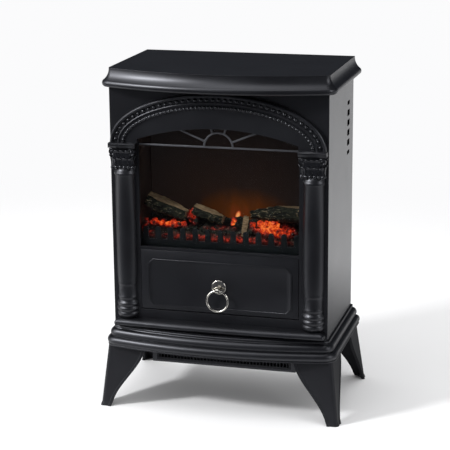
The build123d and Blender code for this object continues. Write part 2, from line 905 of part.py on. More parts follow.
# ================================================================ ember bed and logs
bed_front = panel_back + ember_front
bed_back = bed_front + ember_depth
bed_half = chamber_half - glass_side_gap


def bed_profile(inset):
    """Section of the ember bed, drawn on an upright plane along the stove's depth."""
    low = shelf_top + ember_low - inset
    high = shelf_top + ember_high - inset
    with BuildSketch() as profile:
        with BuildLine():
            foot = Line((bed_back - inset, shelf_top), (bed_front + inset, shelf_top))
            rise = Line(foot @ 1, (bed_front + inset, low))
            crown = (bed_front + ember_depth * 0.45, high - ember_dip)
            top = ThreePointArc(rise @ 1, crown, (bed_back - inset, high))
            Line(top @ 1, foot @ 0)
        make_face()
    return profile.sketch


with BuildPart() as ember_bed:
    with BuildSketch(Plane.YZ.offset(-bed_half)):
        add(bed_profile(0))
    extrude(amount=2 * bed_half)
    with BuildSketch(Plane.YZ.offset(-bed_half)):
        add(bed_profile(ember_skin))
    extrude(amount=2 * bed_half, mode=Mode.SUBTRACT)
finish("ember_bed", ember_bed)

log_girth = [1.0, 0.93, 1.04, 0.96, 1.0, 0.9, 0.97, 1.05]


def log_end(centre, along, radius, split):
    """Uneven round end of a log; the split side is cut back flat."""
    facing = Plane(origin=centre, x_dir=(0, 0, 1), z_dir=along)
    points = []
    for step, girth in enumerate(log_girth):
        turn = radians(45.0 * step + 22.5)
        reach = radius * girth
        points.append((min(reach * cos(turn), radius * split), reach * sin(turn)))
    with BuildSketch(facing) as end:
        with BuildLine():
            Polyline(*points, close=True)
        make_face()
    return end.sketch


def on_bed(across, deep, up):
    """Point over the ember bed: shares of its half width, its depth and its height."""
    return (bed_half * across, bed_front + ember_depth * deep, shelf_top + ember_high * up)


# name, one end, other end, radius at each, how far up the split face is cut
logs = [
    ("log_left", (-0.93, 0.5, 1.56), (-0.42, 0.3, 0.77), 17.0, 13.0, 0.55),
    ("log_middle", (-0.38, 0.64, 1.26), (0.135, 0.33, 0.77), 16.0, 13.0, 0.6),
    ("log_right", (0.3, 0.41, 0.81), (0.96, 0.56, 1.4), 13.0, 18.0, 0.6),
    ("log_stub", (0.21, 0.19, 0.45), (0.223, 0.36, 1.31), 7.0, 8.0, 1.0),
]
for name, first_share, last_share, first_radius, last_radius, split in logs:
    first = on_bed(*first_share)
    last = on_bed(*last_share)
    along = tuple(b - a for a, b in zip(first, last))
    with BuildPart() as log:
        add(log_end(first, along, first_radius, split))
        add(log_end(last, along, last_radius, split))
        loft(ruled=True)
        with BuildSketch(Plane.YZ.offset(-chamber_half)):
            add(bed_profile(0))
        extrude(amount=2 * chamber_half, mode=Mode.SUBTRACT)
    finish(name, log)

# ================================================================ lights, flame screen and flame spindle
for name, board_y in [("ember_light", bed_front + ember_depth / 2), ("flame_light", spindle_y)]:
    with BuildPart() as light:
        with BuildSketch(Plane.XY.offset(shelf_top)):
            with Locations((0, board_y)):
                Rectangle(light_length, light_width)
        extrude(amount=light_board)
        with BuildSketch(Plane.XY.offset(shelf_top + light_board)):
            with Locations((0, board_y)):
                with GridLocations(light_length / light_count, 0, light_count, 1):
                    Rectangle(light_chip, light_chip)
        extrude(amount=light_chip_height)
    finish(name, light)

with BuildPart() as flame_screen:
    with BuildSketch(front_plane(front_y + screen_offset)):
        with Locations((0, (shelf_top + chamber_top) / 2)):
            Rectangle(2 * fret_half, chamber_top - shelf_top)
    extrude(amount=-screen_thick)
finish("flame_screen", flame_screen)

motor_face = chamber_half - spindle_motor_length
bearing_face = chamber_half - spindle_bearing_length
socket_depth = spindle_bearing_length * 0.8
spindle_left = -bearing_face - socket_depth + axial_play
spindle_right = motor_face + socket_depth - axial_play
vane_first = -bearing_face + vane_length / 2
vane_pitch = (motor_face + bearing_face - 2 * vane_length) / (vane_count - 1)
with BuildPart() as flame_spindle:
    with BuildSketch(Plane.YZ.offset(spindle_left)):
        with Locations((spindle_y, spindle_z)):
            Circle(spindle_radius)
    extrude(amount=spindle_right - spindle_left)
    for vane in range(vane_count):
        with BuildSketch(Plane.YZ.offset(vane_first + vane * vane_pitch)):
            with Locations((spindle_y, spindle_z)):
                Rectangle(2 * vane_reach, vane_thick, rotation=vane * vane_twist_angle)
        extrude(amount=vane_length)
finish("flame_spindle", flame_spindle)

with BuildPart() as spindle_bearing:
    with BuildSketch(Plane.YZ.offset(-chamber_half)):
        with Locations((spindle_y, spindle_z)):
            Rectangle(spindle_bearing_size, spindle_bearing_size)
    extrude(amount=spindle_bearing_length)
    with BuildSketch(Plane.YZ.offset(-bearing_face)):
        with Locations((spindle_y, spindle_z)):
            Circle(spindle_radius + running_gap)
    extrude(amount=-socket_depth, mode=Mode.SUBTRACT)
finish("spindle_bearing", spindle_bearing)

with BuildPart() as spindle_motor:
    with BuildSketch(Plane.YZ.offset(motor_face)):
        with Locations((spindle_y, spindle_z)):
            Circle(spindle_motor_radius)
    extrude(amount=spindle_motor_length)
    with BuildSketch(Plane.YZ.offset(motor_face)):
        with Locations((spindle_y, spindle_z)):
            Circle(spindle_radius + running_gap)
    extrude(amount=socket_depth, mode=Mode.SUBTRACT)
finish("spindle_motor", spindle_motor)

# ================================================================ control tray behind the door
tray_half = window_half + tray_wall + door_rim / 4
tray_back = panel_back + tray_depth
wall_face = tray_back - tray_wall
tray_low = opening_low - tray_wall
switch_z = opening_low + switch_height
switch_xs = [switch_start + step * switch_pitch for step in range(switch_count)]
with BuildPart() as control_tray:
    with BuildSketch(front_plane(panel_back)):
        with Locations((0, (tray_low + shelf_low) / 2)):
            Rectangle(2 * tray_half, shelf_low - tray_low)
    extrude(amount=-tray_depth)
    with BuildSketch(front_plane(panel_back)):
        with Locations((0, (opening_low + shelf_low) / 2)):
            Rectangle(2 * (tray_half - tray_wall), shelf_low - opening_low)
    extrude(amount=-(tray_depth - tray_wall), mode=Mode.SUBTRACT)
    with BuildSketch(front_plane(wall_face)):
        with Locations(*[(x, switch_z) for x in switch_xs]):
            Rectangle(switch_width, switch_tall)
        with Locations((thermostat_x, switch_z)):
            Circle(stem_radius + 1)
    extrude(amount=-tray_wall, mode=Mode.SUBTRACT)
finish("control_tray", control_tray)

# ================================================================ rocker switches
rocker_axis_y = wall_face - switch_flange + rocker_pin_radius * 2
rocker_axis_room = rocker_pin_radius + running_gap
pocket_half = (rocker_tall / 2 + moving_gap) + 0.3
with BuildPart() as switch_housings:
    with BuildSketch(front_plane(wall_face)):
        with Locations(*[(x, switch_z) for x in switch_xs]):
            Rectangle(switch_width, switch_tall)
    extrude(amount=-switch_deep)
    with BuildSketch(front_plane(wall_face)):
        with Locations(*[(x, switch_z) for x in switch_xs]):
            Rectangle(switch_width + 2 * switch_flange, switch_tall + 2 * switch_flange)
    extrude(amount=switch_flange)
    with BuildSketch(front_plane(wall_face - switch_flange)):
        with Locations(*[(x, switch_z) for x in switch_xs]):
            Rectangle(rocker_width + moving_gap, 2 * pocket_half)
    extrude(amount=-switch_flange - switch_deep / 2, mode=Mode.SUBTRACT)
    for x in switch_xs:
        with BuildSketch(Plane.YZ.offset(x - switch_width / 2 + 0.5)):
            with Locations((rocker_axis_y, switch_z)):
                Circle(rocker_axis_room)
        extrude(amount=switch_width - 1, mode=Mode.SUBTRACT)
finish("switch_housings", switch_housings)

rocker_half = rocker_tall / 2
rocker_face = rocker_pin_radius * 2 + 1.0
rocker_tip = rocker_face + rocker_half * sin(radians(rocker_tilt))
for name, x in zip(["power_rocker", "low_heat_rocker", "high_heat_rocker"], switch_xs):
    with BuildPart() as rocker:
        rocker_corner = (x - rocker_width / 2, rocker_axis_y, switch_z)
        with BuildSketch(Plane(origin=rocker_corner, x_dir=(0, 1, 0), z_dir=(1, 0, 0))):
            with BuildLine():
                Polyline(
                    (-rocker_tip, rocker_half),
                    (-rocker_face, 0),
                    (-rocker_tip, -rocker_half),
                    (rocker_edge, -rocker_half),
                    (rocker_heel, -rocker_heel_half),
                    (rocker_heel, rocker_heel_half),
                    (rocker_edge, rocker_half),
                    close=True,
                )
            make_face()
        extrude(amount=rocker_width)
        with BuildSketch(Plane.YZ.offset(x - switch_width / 2 + 0.5 + axial_play)):
            with Locations((rocker_axis_y, switch_z)):
                Circle(rocker_pin_radius)
        extrude(amount=switch_width - 1 - 2 * axial_play)
    rocker.part = rocker.part.rotate(Axis((0, rocker_axis_y, switch_z), (1, 0, 0)), -rocker_tilt)
    finish(name, rocker)

# ================================================================ thermostat
with BuildPart() as thermostat_body:
    with BuildSketch(front_plane(tray_back)):
        with Locations((thermostat_x, switch_z)):
            Rectangle(thermostat_size, thermostat_size)
    extrude(amount=-thermostat_deep)
    fillet(thermostat_body.edges().filter_by(Axis.Y), 2)
    with BuildSketch(front_plane(tray_back)):
        with Locations((thermostat_x, switch_z)):
            Circle(stem_radius + running_gap)
    extrude(amount=-thermostat_deep / 2, mode=Mode.SUBTRACT)
finish("thermostat_body", thermostat_body)

knob_back = wall_face - moving_gap
knob_front = knob_back - knob_height
with BuildPart() as thermostat_knob:
    with BuildSketch(front_plane(knob_back)):
        with Locations((thermostat_x, switch_z)):
            Circle(knob_radius)
    extrude(amount=knob_height - knob_grip, taper=4)
    with BuildSketch(front_plane(knob_front + knob_grip)):
        with Locations((thermostat_x, switch_z)):
            SlotOverall(2 * knob_radius - 4, knob_grip, rotation=90)
    extrude(amount=knob_grip, taper=4)
    with BuildSketch(front_plane(knob_back)):
        with Locations((thermostat_x, switch_z)):
            Circle(stem_radius)
    extrude(amount=-(tray_back - knob_back + thermostat_deep / 2 - axial_play))
finish("thermostat_knob", thermostat_knob)

# ================================================================ drop-down control door
door_face = front_y - door_inset
door_rear = door_face + door_thick
border_half = door_half - border_inset_x
border_low = door_low + border_inset_low
border_high = door_top - border_inset_high
pull_z = door_low + boss_height


def notched_frame(inset):
    """Rectangle with its corners cut across, drawn on an upright plane."""
    wide = border_half - inset
    low = border_low + inset
    high = border_high - inset
    cut = border_notch - inset * 0.6
    with BuildSketch() as frame:
        with BuildLine():
            Polyline(
                (-wide, low + cut),
                (-wide, high - cut),
                (-wide + cut, high),
                (wide - cut, high),
                (wide, high - cut),
                (wide, low + cut),
                (wide - cut, low),
                (-wide + cut, low),
                close=True,
            )
        make_face()
    return frame.sketch


with BuildPart() as control_door:
    with BuildSketch(Plane.YZ.offset(-door_half)):
        with BuildLine():
            front = Line((door_face, pin_z), (door_face, door_top))
            top = Line(front @ 1, (door_rear, door_top))
            rear = Line(top @ 1, (door_rear, pin_z))
            ThreePointArc(rear @ 1, (pin_y, door_low), front @ 0)
        make_face()
    extrude(amount=2 * door_half)
    with BuildSketch(front_plane(door_rear)):
        with Locations((0, (pin_z + door_top) / 2)):
            with GridLocations(2 * (door_half - door_rim) / 3, 0, 3, 1):
                Rectangle(2 * (door_half - door_rim) / 3 - door_rim, door_top - pin_z - 2 * door_rim)
    extrude(amount=door_thick - door_skin, mode=Mode.SUBTRACT)
    with BuildSketch(front_plane(door_face)):
        add(notched_frame(0))
        add(notched_frame(border_width), mode=Mode.SUBTRACT)
    extrude(amount=border_proud)
    for side in (-1, 1):
        with BuildSketch(Plane.YZ.offset(side * door_half)):
            with Locations((pin_y, pin_z)):
                Circle(door_pin_radius + running_gap)
        extrude(amount=-side * (door_pin_grip + axial_play), mode=Mode.SUBTRACT)
finish("control_door", control_door)

with BuildPart() as hinge_pins:
    for side in (-1, 1):
        with BuildSketch(Plane.YZ.offset(side * (door_half - door_pin_grip))):
            with Locations((pin_y, pin_z)):
                Circle(door_pin_radius)
        extrude(amount=side * (2 * door_pin_grip + window_half - door_half))
finish("hinge_pins", hinge_pins)

# ================================================================ ring pull
eye_y = door_face - ring_standoff
eye_z = pull_z - eye_drop
eye_hole = ring_wire + ring_clear
with BuildPart() as pull_boss:
    with BuildSketch(front_plane(door_face)):
        with Locations((0, pull_z)):
            Circle(boss_radius)
    extrude(amount=boss_thick)
    fillet(pull_boss.edges().group_by(Axis.Y)[0], boss_thick * 0.6)
    with BuildSketch(Plane.YZ.offset(-eye_width / 2)):
        with Locations((eye_y, eye_z)):
            Circle(eye_hole + eye_wall)
        with Locations(((eye_y + door_face - boss_thick) / 2, eye_z)):
            Rectangle(door_face - boss_thick - eye_y + 0.4, 2 * eye_hole)
        with Locations((eye_y, eye_z)):
            Circle(eye_hole, mode=Mode.SUBTRACT)
    extrude(amount=eye_width)
finish("pull_boss", pull_boss)

with BuildPart() as pull_ring:
    with BuildSketch(Plane(origin=(0, eye_y, eye_z), x_dir=(0, 1, 0), z_dir=(1, 0, 0))):
        Circle(ring_wire)
    revolve(axis=Axis((0, eye_y, eye_z - ring_radius), (0, 1, 0)))
finish("pull_ring", pull_ring)

# ================================================================ heater under the base
heater_half = heater_width / 2
heater_floor = heater_floor_z + sheet
grille_low = heater_floor_z + grille_margin
grille_high = leg_height - grille_margin
grille_half = heater_half - 2 * grille_margin
with BuildPart() as heater_housing:
    with BuildSketch(Plane.XY.offset(heater_floor_z)):
        with Locations((0, (heater_front + heater_back) / 2)):
            Rectangle(2 * heater_half, heater_depth)
    extrude(amount=base_top - heater_floor_z)
    with BuildSketch(Plane.XY.offset(heater_floor)):
        with Locations((0, (heater_front + heater_back) / 2)):
            Rectangle(2 * (heater_half - sheet), heater_depth - 2 * sheet)
    extrude(amount=base_top - heater_floor, mode=Mode.SUBTRACT)
    with BuildSketch(Plane.XY.offset(base_top - sheet)):
        with Locations((0, (heater_front + heater_back) / 2)):
            Rectangle(2 * (heater_half + heater_flange), heater_depth)
            Rectangle(2 * (heater_half - sheet), heater_depth - 2 * sheet, mode=Mode.SUBTRACT)
    extrude(amount=sheet)
    with BuildSketch(front_plane(heater_front)):
        with Locations((0, (grille_low + grille_high) / 2)):
            Rectangle(2 * grille_half, grille_high - grille_low)
    extrude(amount=-sheet, mode=Mode.SUBTRACT)
finish("heater_housing", heater_housing)

bar_count = int(2 * (grille_half - grille_rim) / grille_pitch)
slot_tall = grille_high - grille_low - 2 * grille_rim
with BuildPart() as outlet_grille:
    with BuildSketch(front_plane(heater_front)):
        with Locations((0, (grille_low + grille_high) / 2)):
            Rectangle(2 * grille_half, grille_high - grille_low)
            Rectangle(2 * (grille_half - grille_rim), slot_tall, mode=Mode.SUBTRACT)
            with GridLocations(grille_pitch, 0, bar_count, 1):
                Rectangle(grille_bar, slot_tall + grille_rim)
    extrude(amount=-grille_depth)
finish("outlet_grille", outlet_grille)

wheel_y = heater_back - sheet - wheel_back_gap - wheel_radius
wheel_z = heater_floor + wheel_floor_gap + wheel_radius
inner_half = heater_half - sheet
shaft_left = -inner_half + axial_play + sheet
wheel_left = -inner_half + blower_bearing_length + wheel_end_gap
blower_face = inner_half - blower_motor_length
wheel_right = blower_face - wheel_end_gap / 2
wheel_length = wheel_right - wheel_left
shaft_right = blower_face + blower_motor_length / 2
with BuildPart() as blower_wheel:
    with BuildSketch(Plane.YZ.offset(shaft_left)):
        with Locations((wheel_y, wheel_z)):
            Circle(wheel_shaft_radius)
    extrude(amount=shaft_right - shaft_left)
    for start in (wheel_left, (wheel_left + wheel_right - wheel_disc) / 2, wheel_right - wheel_disc):
        with BuildSketch(Plane.YZ.offset(start)):
            with Locations((wheel_y, wheel_z)):
                Circle(wheel_radius)
        extrude(amount=wheel_disc)
    with BuildSketch(Plane.YZ.offset(wheel_left)):
        with Locations((wheel_y, wheel_z)):
            with PolarLocations(wheel_radius - blade_depth / 2, blade_count):
                Rectangle(blade_depth, blade_thick, rotation=blade_sweep)
    extrude(amount=wheel_length)
finish("blower_wheel", blower_wheel)

with BuildPart() as blower_bearing:
    with BuildSketch(Plane.YZ.offset(-inner_half)):
        with Locations((wheel_y, wheel_z)):
            Rectangle(blower_bearing_size, blower_bearing_size)
    extrude(amount=blower_bearing_length)
    with BuildSketch(Plane.YZ.offset(-inner_half + sheet)):
        with Locations((wheel_y, wheel_z)):
            Circle(wheel_shaft_radius + running_gap)
    extrude(amount=blower_bearing_length - sheet, mode=Mode.SUBTRACT)
finish("blower_bearing", blower_bearing)

with BuildPart() as blower_motor:
    with BuildSketch(Plane.YZ.offset(blower_face)):
        with Locations((wheel_y, wheel_z)):
            Circle(blower_motor_radius)
    extrude(amount=blower_motor_length)
    with BuildSketch(Plane.YZ.offset(blower_face)):
        with Locations((wheel_y, wheel_z)):
            Circle(wheel_shaft_radius + running_gap)
    extrude(amount=blower_motor_length / 2 + axial_play, mode=Mode.SUBTRACT)
finish("blower_motor", blower_motor)

element_y = heater_front + grille_depth + element_offset + element_deep / 2
fin_count = int(element_length / fin_pitch)
with BuildPart() as heating_element:
    for end in (-1, 1):
        with BuildSketch(Plane.XY.offset(heater_floor)):
            with Locations((end * element_length / 2, element_y)):
                Rectangle(2 * element_bar, element_deep)
        extrude(amount=element_tall + 2 * element_bar)
    for row in range(element_rows):
        with BuildSketch(Plane.XY.offset(heater_floor + (row + 0.5) * element_tall / element_rows)):
            with Locations((0, element_y)):
                Rectangle(element_length, element_deep / 2)
        extrude(amount=element_bar)
    with BuildSketch(Plane.XY.offset(heater_floor + element_bar)):
        with Locations((0, element_y)):
            with GridLocations(fin_pitch, 0, fin_count - 1, 1):
                Rectangle(fin_thick, element_deep)
    extrude(amount=element_tall - element_bar)
finish("heating_element", heating_element)

cutout_x = (element_length / 2 + inner_half) / 2
with BuildPart() as thermal_cutout:
    with BuildSketch(Plane.XY.offset(heater_floor)):
        with Locations((cutout_x, element_y)):
            Circle(cutout_radius)
    extrude(amount=cutout_height)
    with BuildSketch(Plane.XY.offset(heater_floor + cutout_height)):
        with Locations((cutout_x, element_y)):
            Rectangle(cutout_radius, cutout_radius / 2)
    extrude(amount=cutout_height / 2)
finish("thermal_cutout", thermal_cutout)
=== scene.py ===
import math
import random

import bpy
from mathutils import Euler, Matrix, Vector


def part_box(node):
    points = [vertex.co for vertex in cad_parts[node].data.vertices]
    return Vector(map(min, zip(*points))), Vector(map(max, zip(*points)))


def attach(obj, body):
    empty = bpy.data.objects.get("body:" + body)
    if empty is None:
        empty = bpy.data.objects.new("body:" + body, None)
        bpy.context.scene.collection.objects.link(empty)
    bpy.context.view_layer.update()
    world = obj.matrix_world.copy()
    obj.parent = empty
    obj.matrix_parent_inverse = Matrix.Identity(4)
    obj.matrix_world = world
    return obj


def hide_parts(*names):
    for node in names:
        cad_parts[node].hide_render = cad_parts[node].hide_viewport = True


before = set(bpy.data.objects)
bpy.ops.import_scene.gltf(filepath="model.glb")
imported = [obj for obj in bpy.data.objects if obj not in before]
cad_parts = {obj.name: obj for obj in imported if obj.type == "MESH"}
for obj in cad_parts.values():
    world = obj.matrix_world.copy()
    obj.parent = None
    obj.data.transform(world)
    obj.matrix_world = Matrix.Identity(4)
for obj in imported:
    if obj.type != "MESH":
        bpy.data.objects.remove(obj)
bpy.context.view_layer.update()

print("frame loaded")


def linearColour(hexText):
    # sRGB hex to the linear values that the sockets take
    values = [int(hexText[i:i + 2], 16) / 255 for i in (1, 3, 5)]
    return tuple(v / 12.92 if v <= 0.04045 else ((v + 0.055) / 1.055) ** 2.4
                 for v in values) + (1.0,)


def addNode(tree, kind, settings=None, links=None, stops=None, **inputs):
    # one node: its settings, its input values, the sockets that feed it and, on a ramp, its stops
    node = tree.nodes.new(kind)
    for key, value in (settings or {}).items():
        setattr(node, key, value)
    for key, value in inputs.items():
        node.inputs[key.replace("_", " ")].default_value = value
    for key, source in (links or {}).items():
        tree.links.new(source, node.inputs[key])
    for step, (where, colour) in enumerate(stops or []):
        steps = node.color_ramp.elements
        if step >= len(steps):
            steps.new(where)
        steps[step].position = where
        steps[step].color = linearColour(colour)
    return node


def newMaterial(name):
    material = bpy.data.materials.new(name)
    material.use_nodes = True
    tree = material.node_tree
    shader = tree.nodes["Principled BSDF"]
    place = addNode(tree, "ShaderNodeTexCoord").outputs["Object"]
    return material, tree, shader, place


def perMetre(millimetres):
    # texture scale for a pattern that repeats every so many millimetres
    return 1000.0 / millimetres


# angles in degrees, distances in metres, lens and sensor in millimetres
cameraSetup = {"azimuth": 15.41, "elevation": 14.80, "roll": -0.51, "distance": 2.750,
               "target": (-0.0174, 0.010, 0.3093), "lens": 124.5, "sensor": 36, "reach": 60}


def makeCamera(setup):
    bpy.ops.object.camera_add()
    camera = bpy.context.object
    azimuth, elevation = math.radians(setup["azimuth"]), math.radians(setup["elevation"])
    away = Vector((math.sin(azimuth) * math.cos(elevation),
                   -math.cos(azimuth) * math.cos(elevation), math.sin(elevation)))
    camera.location = Vector(setup["target"]) + away * setup["distance"]
    level = Euler((math.pi / 2 - elevation, 0, azimuth)).to_matrix()
    tilt = Matrix.Rotation(math.radians(setup["roll"]), 3, "Z")
    camera.rotation_euler = (level @ tilt).to_euler()
    camera.data.lens = setup["lens"]
    camera.data.sensor_width = setup["sensor"]
    camera.data.clip_end = setup["reach"]
    bpy.context.scene.camera = camera


# white paper under and behind the stove, soft lamps, and what its gloss mirrors
studio = {
    "floorSize": 60, "floorColour": "#fbfbfc", "sweepStarts": (0.9, 1.8),
    "ambientLow": 0.34, "ambientHigh": 0.95,
    # the mirrored floor: where it is dark, by metres behind the middle of the stove
    "mirrorSpan": 1.0, "mirrorFloor": "#3a3b40",
    "mirrorBands": [(-0.50, "#ffffff"), (-0.20, "#000000"), (0.0, "#000000"),
                    (0.15, "#dcdcdc"), (0.40, "#dcdcdc"), (0.88, "#000000")],
    "horizonGloss": "#b4b6ba", "ceilingGloss": "#32353c", "ceilingStarts": (0.0, 0.07),
    # white cards that only the gloss shows: which way they lie, edge and core half angle, strength
    "cards": {"left": ((-0.84, -0.45, 0.38), (30, 10), 5.4),
              "right": ((0.92, -0.30, 0.36), (23, 7), 3.0),
              "top": ((-0.46, -0.34, 0.82), (34, 12), 1.5)},
    "lampAim": (0, 0, 0.3),
    "lamps": {"keySoftbox": {"watts": 52, "size": 0.4, "place": (-1.7, -1.5, 1.95)},
              "fillSoftbox": {"watts": 5, "size": 0.6, "place": (2.3, -0.9, 1.4)},
              "overheadBank": {"watts": 16, "size": 1.8, "place": (0.1, -0.5, 2.7)}}}


def makeLamp(name, setup, aim):
    bpy.ops.object.light_add(type="AREA", location=setup["place"])
    lamp = bpy.context.object
    lamp.name = name
    lamp.data.energy = setup["watts"]
    lamp.data.size = setup["size"]
    toward = Vector(aim) - Vector(setup["place"])
    lamp.rotation_euler = toward.to_track_quat("-Z", "Y").to_euler()


def makeFloor(setup):
    bpy.ops.mesh.primitive_plane_add(size=setup["floorSize"])
    floor = bpy.context.object
    floor.name = "studioFloor"
    material, tree, shader, place = newMaterial("paleStudioPaper")
    path = addNode(tree, "ShaderNodeLightPath")
    depth = addNode(tree, "ShaderNodeSeparateXYZ", links={"Vector": place}).outputs["Y"]
    # what the enamel mirrors: dark floor well in front, white paper close by, shadow behind
    span = setup["mirrorSpan"]
    share = addNode(tree, "ShaderNodeMapRange", links={"Value": depth}, From_Min=-span,
                    From_Max=span)
    bands = addNode(tree, "ShaderNodeValToRGB", links={"Fac": share.outputs["Result"]},
                    stops=[((where + span) / (2 * span), grey)
                           for where, grey in setup["mirrorBands"]])
    dark = addNode(tree, "ShaderNodeMath", {"operation": "MULTIPLY"},
                   {0: bands.outputs["Color"], 1: path.outputs["Is Glossy Ray"]})
    paper = addNode(tree, "ShaderNodeMix", {"data_type": "RGBA"}, {"Factor": dark.outputs["Value"]})
    paper.inputs["A"].default_value = linearColour(setup["floorColour"])
    paper.inputs["B"].default_value = linearColour(setup["mirrorFloor"])
    tree.links.new(paper.outputs["Result"], shader.inputs["Base Color"])
    shader.inputs["Roughness"].default_value = 0.9
    shader.inputs["Specular IOR Level"].default_value = 0.1
    # the far paper shows plain white to the camera, while the near paper keeps the shadows
    away = addNode(tree, "ShaderNodeVectorMath", {"operation": "LENGTH"}, {0: place})
    near, far = setup["sweepStarts"]
    sweep = addNode(tree, "ShaderNodeMapRange", {"interpolation_type": "SMOOTHSTEP"},
                    {"Value": away.outputs["Value"]}, From_Min=near, From_Max=far)
    shown = addNode(tree, "ShaderNodeMath", {"operation": "MULTIPLY"},
                    {0: sweep.outputs["Result"], 1: path.outputs["Is Camera Ray"]})
    white = addNode(tree, "ShaderNodeEmission", Color=linearColour(setup["floorColour"]))
    mixed = addNode(tree, "ShaderNodeMixShader",
                    links={0: shown.outputs["Value"], 1: shader.outputs["BSDF"],
                           2: white.outputs["Emission"]})
    tree.links.new(mixed.outputs["Shader"], tree.nodes["Material Output"].inputs["Surface"])
    floor.data.materials.append(material)


def makeSky(setup):
    world = bpy.data.worlds.new("studioSky")
    bpy.context.scene.world = world
    world.use_nodes = True
    tree = world.node_tree
    tree.nodes.clear()
    path = addNode(tree, "ShaderNodeLightPath")
    direction = addNode(tree, "ShaderNodeTexCoord").outputs["Generated"]
    height = addNode(tree, "ShaderNodeSeparateXYZ", links={"Vector": direction}).outputs["Z"]
    low, high = setup["ceilingStarts"]
    # white sweep near the horizon, dark ceiling above it
    sky = addNode(tree, "ShaderNodeValToRGB", links={"Fac": height},
                  stops=[(low, setup["horizonGloss"]), (high, setup["ceilingGloss"])])
    shine = sky.outputs["Color"]
    for toward, (edge, core), strength in setup["cards"].values():
        facing = addNode(tree, "ShaderNodeVectorMath", {"operation": "DOT_PRODUCT"},
                         {0: direction})
        facing.inputs[1].default_value = Vector(toward).normalized()
        card = addNode(tree, "ShaderNodeMapRange", {"interpolation_type": "SMOOTHSTEP"},
                       {"Value": facing.outputs["Value"]},
                       From_Min=math.cos(math.radians(edge)),
                       From_Max=math.cos(math.radians(core)), To_Max=strength)
        shine = addNode(tree, "ShaderNodeVectorMath", {"operation": "ADD"},
                        {0: shine, 1: card.outputs["Result"]}).outputs["Vector"]
    soft = addNode(tree, "ShaderNodeMapRange", links={"Value": height},
                   To_Min=setup["ambientLow"], To_Max=setup["ambientHigh"])
    seen = addNode(tree, "ShaderNodeMix", {"data_type": "RGBA"},
                   {"Factor": path.outputs["Is Glossy Ray"], "A": soft.outputs["Result"],
                    "B": shine})
    shown = addNode(tree, "ShaderNodeMix", {"data_type": "RGBA"},
                    {"Factor": path.outputs["Is Camera Ray"], "A": seen.outputs["Result"]})
    shown.inputs["B"].default_value = linearColour(setup["floorColour"])
    glow = addNode(tree, "ShaderNodeBackground", links={"Color": shown.outputs["Result"]})
    addNode(tree, "ShaderNodeOutputWorld", links={"Surface": glow.outputs["Background"]})


makeCamera(cameraSetup)
makeFloor(studio)
makeSky(studio)
for name, lamp in studio["lamps"].items():
    makeLamp(name, lamp, studio["lampAim"])
bpy.context.scene.view_settings.view_transform = "Standard"
print("studio ready")

# materials, each from what the real thing is made of, with painted light on a few of them where
# marked; pattern sizes and edges in millimetres
enamel = {"dark": "#0c0c0f", "light": "#131417", "roughness": (0.33, 0.40), "grain": 1.8,
          "orangePeel": 6.0, "softEdge": 0.7, "gloss": 0.5, "tint": "#f3f5ff"}


def satinStoveEnamel(name, settings):
    # sprayed satin enamel on cast iron: near black, a soft sheen, faint orange peel over sand grain
    material, tree, shader, place = newMaterial(name)
    drift = addNode(tree, "ShaderNodeTexNoise", links={"Vector": place}, Scale=perMetre(60),
                    Detail=3)
    tone = addNode(tree, "ShaderNodeValToRGB", links={"Fac": drift.outputs["Fac"]},
                   stops=[(0.3, settings["dark"]), (0.75, settings["light"])])
    tree.links.new(tone.outputs["Color"], shader.inputs["Base Color"])
    low, high = settings["roughness"]
    rough = addNode(tree, "ShaderNodeMapRange", links={"Value": drift.outputs["Fac"]},
                    To_Min=low, To_Max=high)
    tree.links.new(rough.outputs["Result"], shader.inputs["Roughness"])
    # enamel pulls back from sharp corners, so they read as softly rounded
    edge = addNode(tree, "ShaderNodeBevel", {"samples": 4}, Radius=settings["softEdge"] / 1000)
    peel = addNode(tree, "ShaderNodeTexNoise", links={"Vector": place},
                   Scale=perMetre(settings["orangePeel"]), Detail=2)
    sand = addNode(tree, "ShaderNodeTexNoise", links={"Vector": place},
                   Scale=perMetre(settings["grain"]), Detail=1)
    first = addNode(tree, "ShaderNodeBump",
                    links={"Height": peel.outputs["Fac"], "Normal": edge.outputs["Normal"]},
                    Strength=0.05, Distance=0.0005)
    second = addNode(tree, "ShaderNodeBump",
                     links={"Height": sand.outputs["Fac"], "Normal": first.outputs["Normal"]},
                     Strength=0.08, Distance=0.0002)
    tree.links.new(second.outputs["Normal"], shader.inputs["Normal"])
    shader.inputs["Specular IOR Level"].default_value = settings["gloss"]
    shader.inputs["Specular Tint"].default_value = linearColour(settings["tint"])
    return material


def sheetSteel(name, dark, light, roughness, metallic=0.0):
    # rolled sheet: fine lengthwise streaks in tone and gloss
    material, tree, shader, place = newMaterial(name)
    drift = 0.06  # how far the roughness strays either way
    stretched = addNode(tree, "ShaderNodeMapping", links={"Vector": place}, Scale=(1, 1, 0.06))
    lines = addNode(tree, "ShaderNodeTexNoise", links={"Vector": stretched.outputs["Vector"]},
                    Scale=perMetre(2.5), Detail=4)
    tone = addNode(tree, "ShaderNodeValToRGB", links={"Fac": lines.outputs["Fac"]},
                   stops=[(0.35, dark), (0.7, light)])
    tree.links.new(tone.outputs["Color"], shader.inputs["Base Color"])
    rough = addNode(tree, "ShaderNodeMapRange", links={"Value": lines.outputs["Fac"]},
                    To_Min=roughness - drift, To_Max=roughness + drift)
    tree.links.new(rough.outputs["Result"], shader.inputs["Roughness"])
    bump = addNode(tree, "ShaderNodeBump", links={"Height": lines.outputs["Fac"]},
                   Strength=0.05, Distance=0.0001)
    tree.links.new(bump.outputs["Normal"], shader.inputs["Normal"])
    shader.inputs["Metallic"].default_value = metallic
    return material


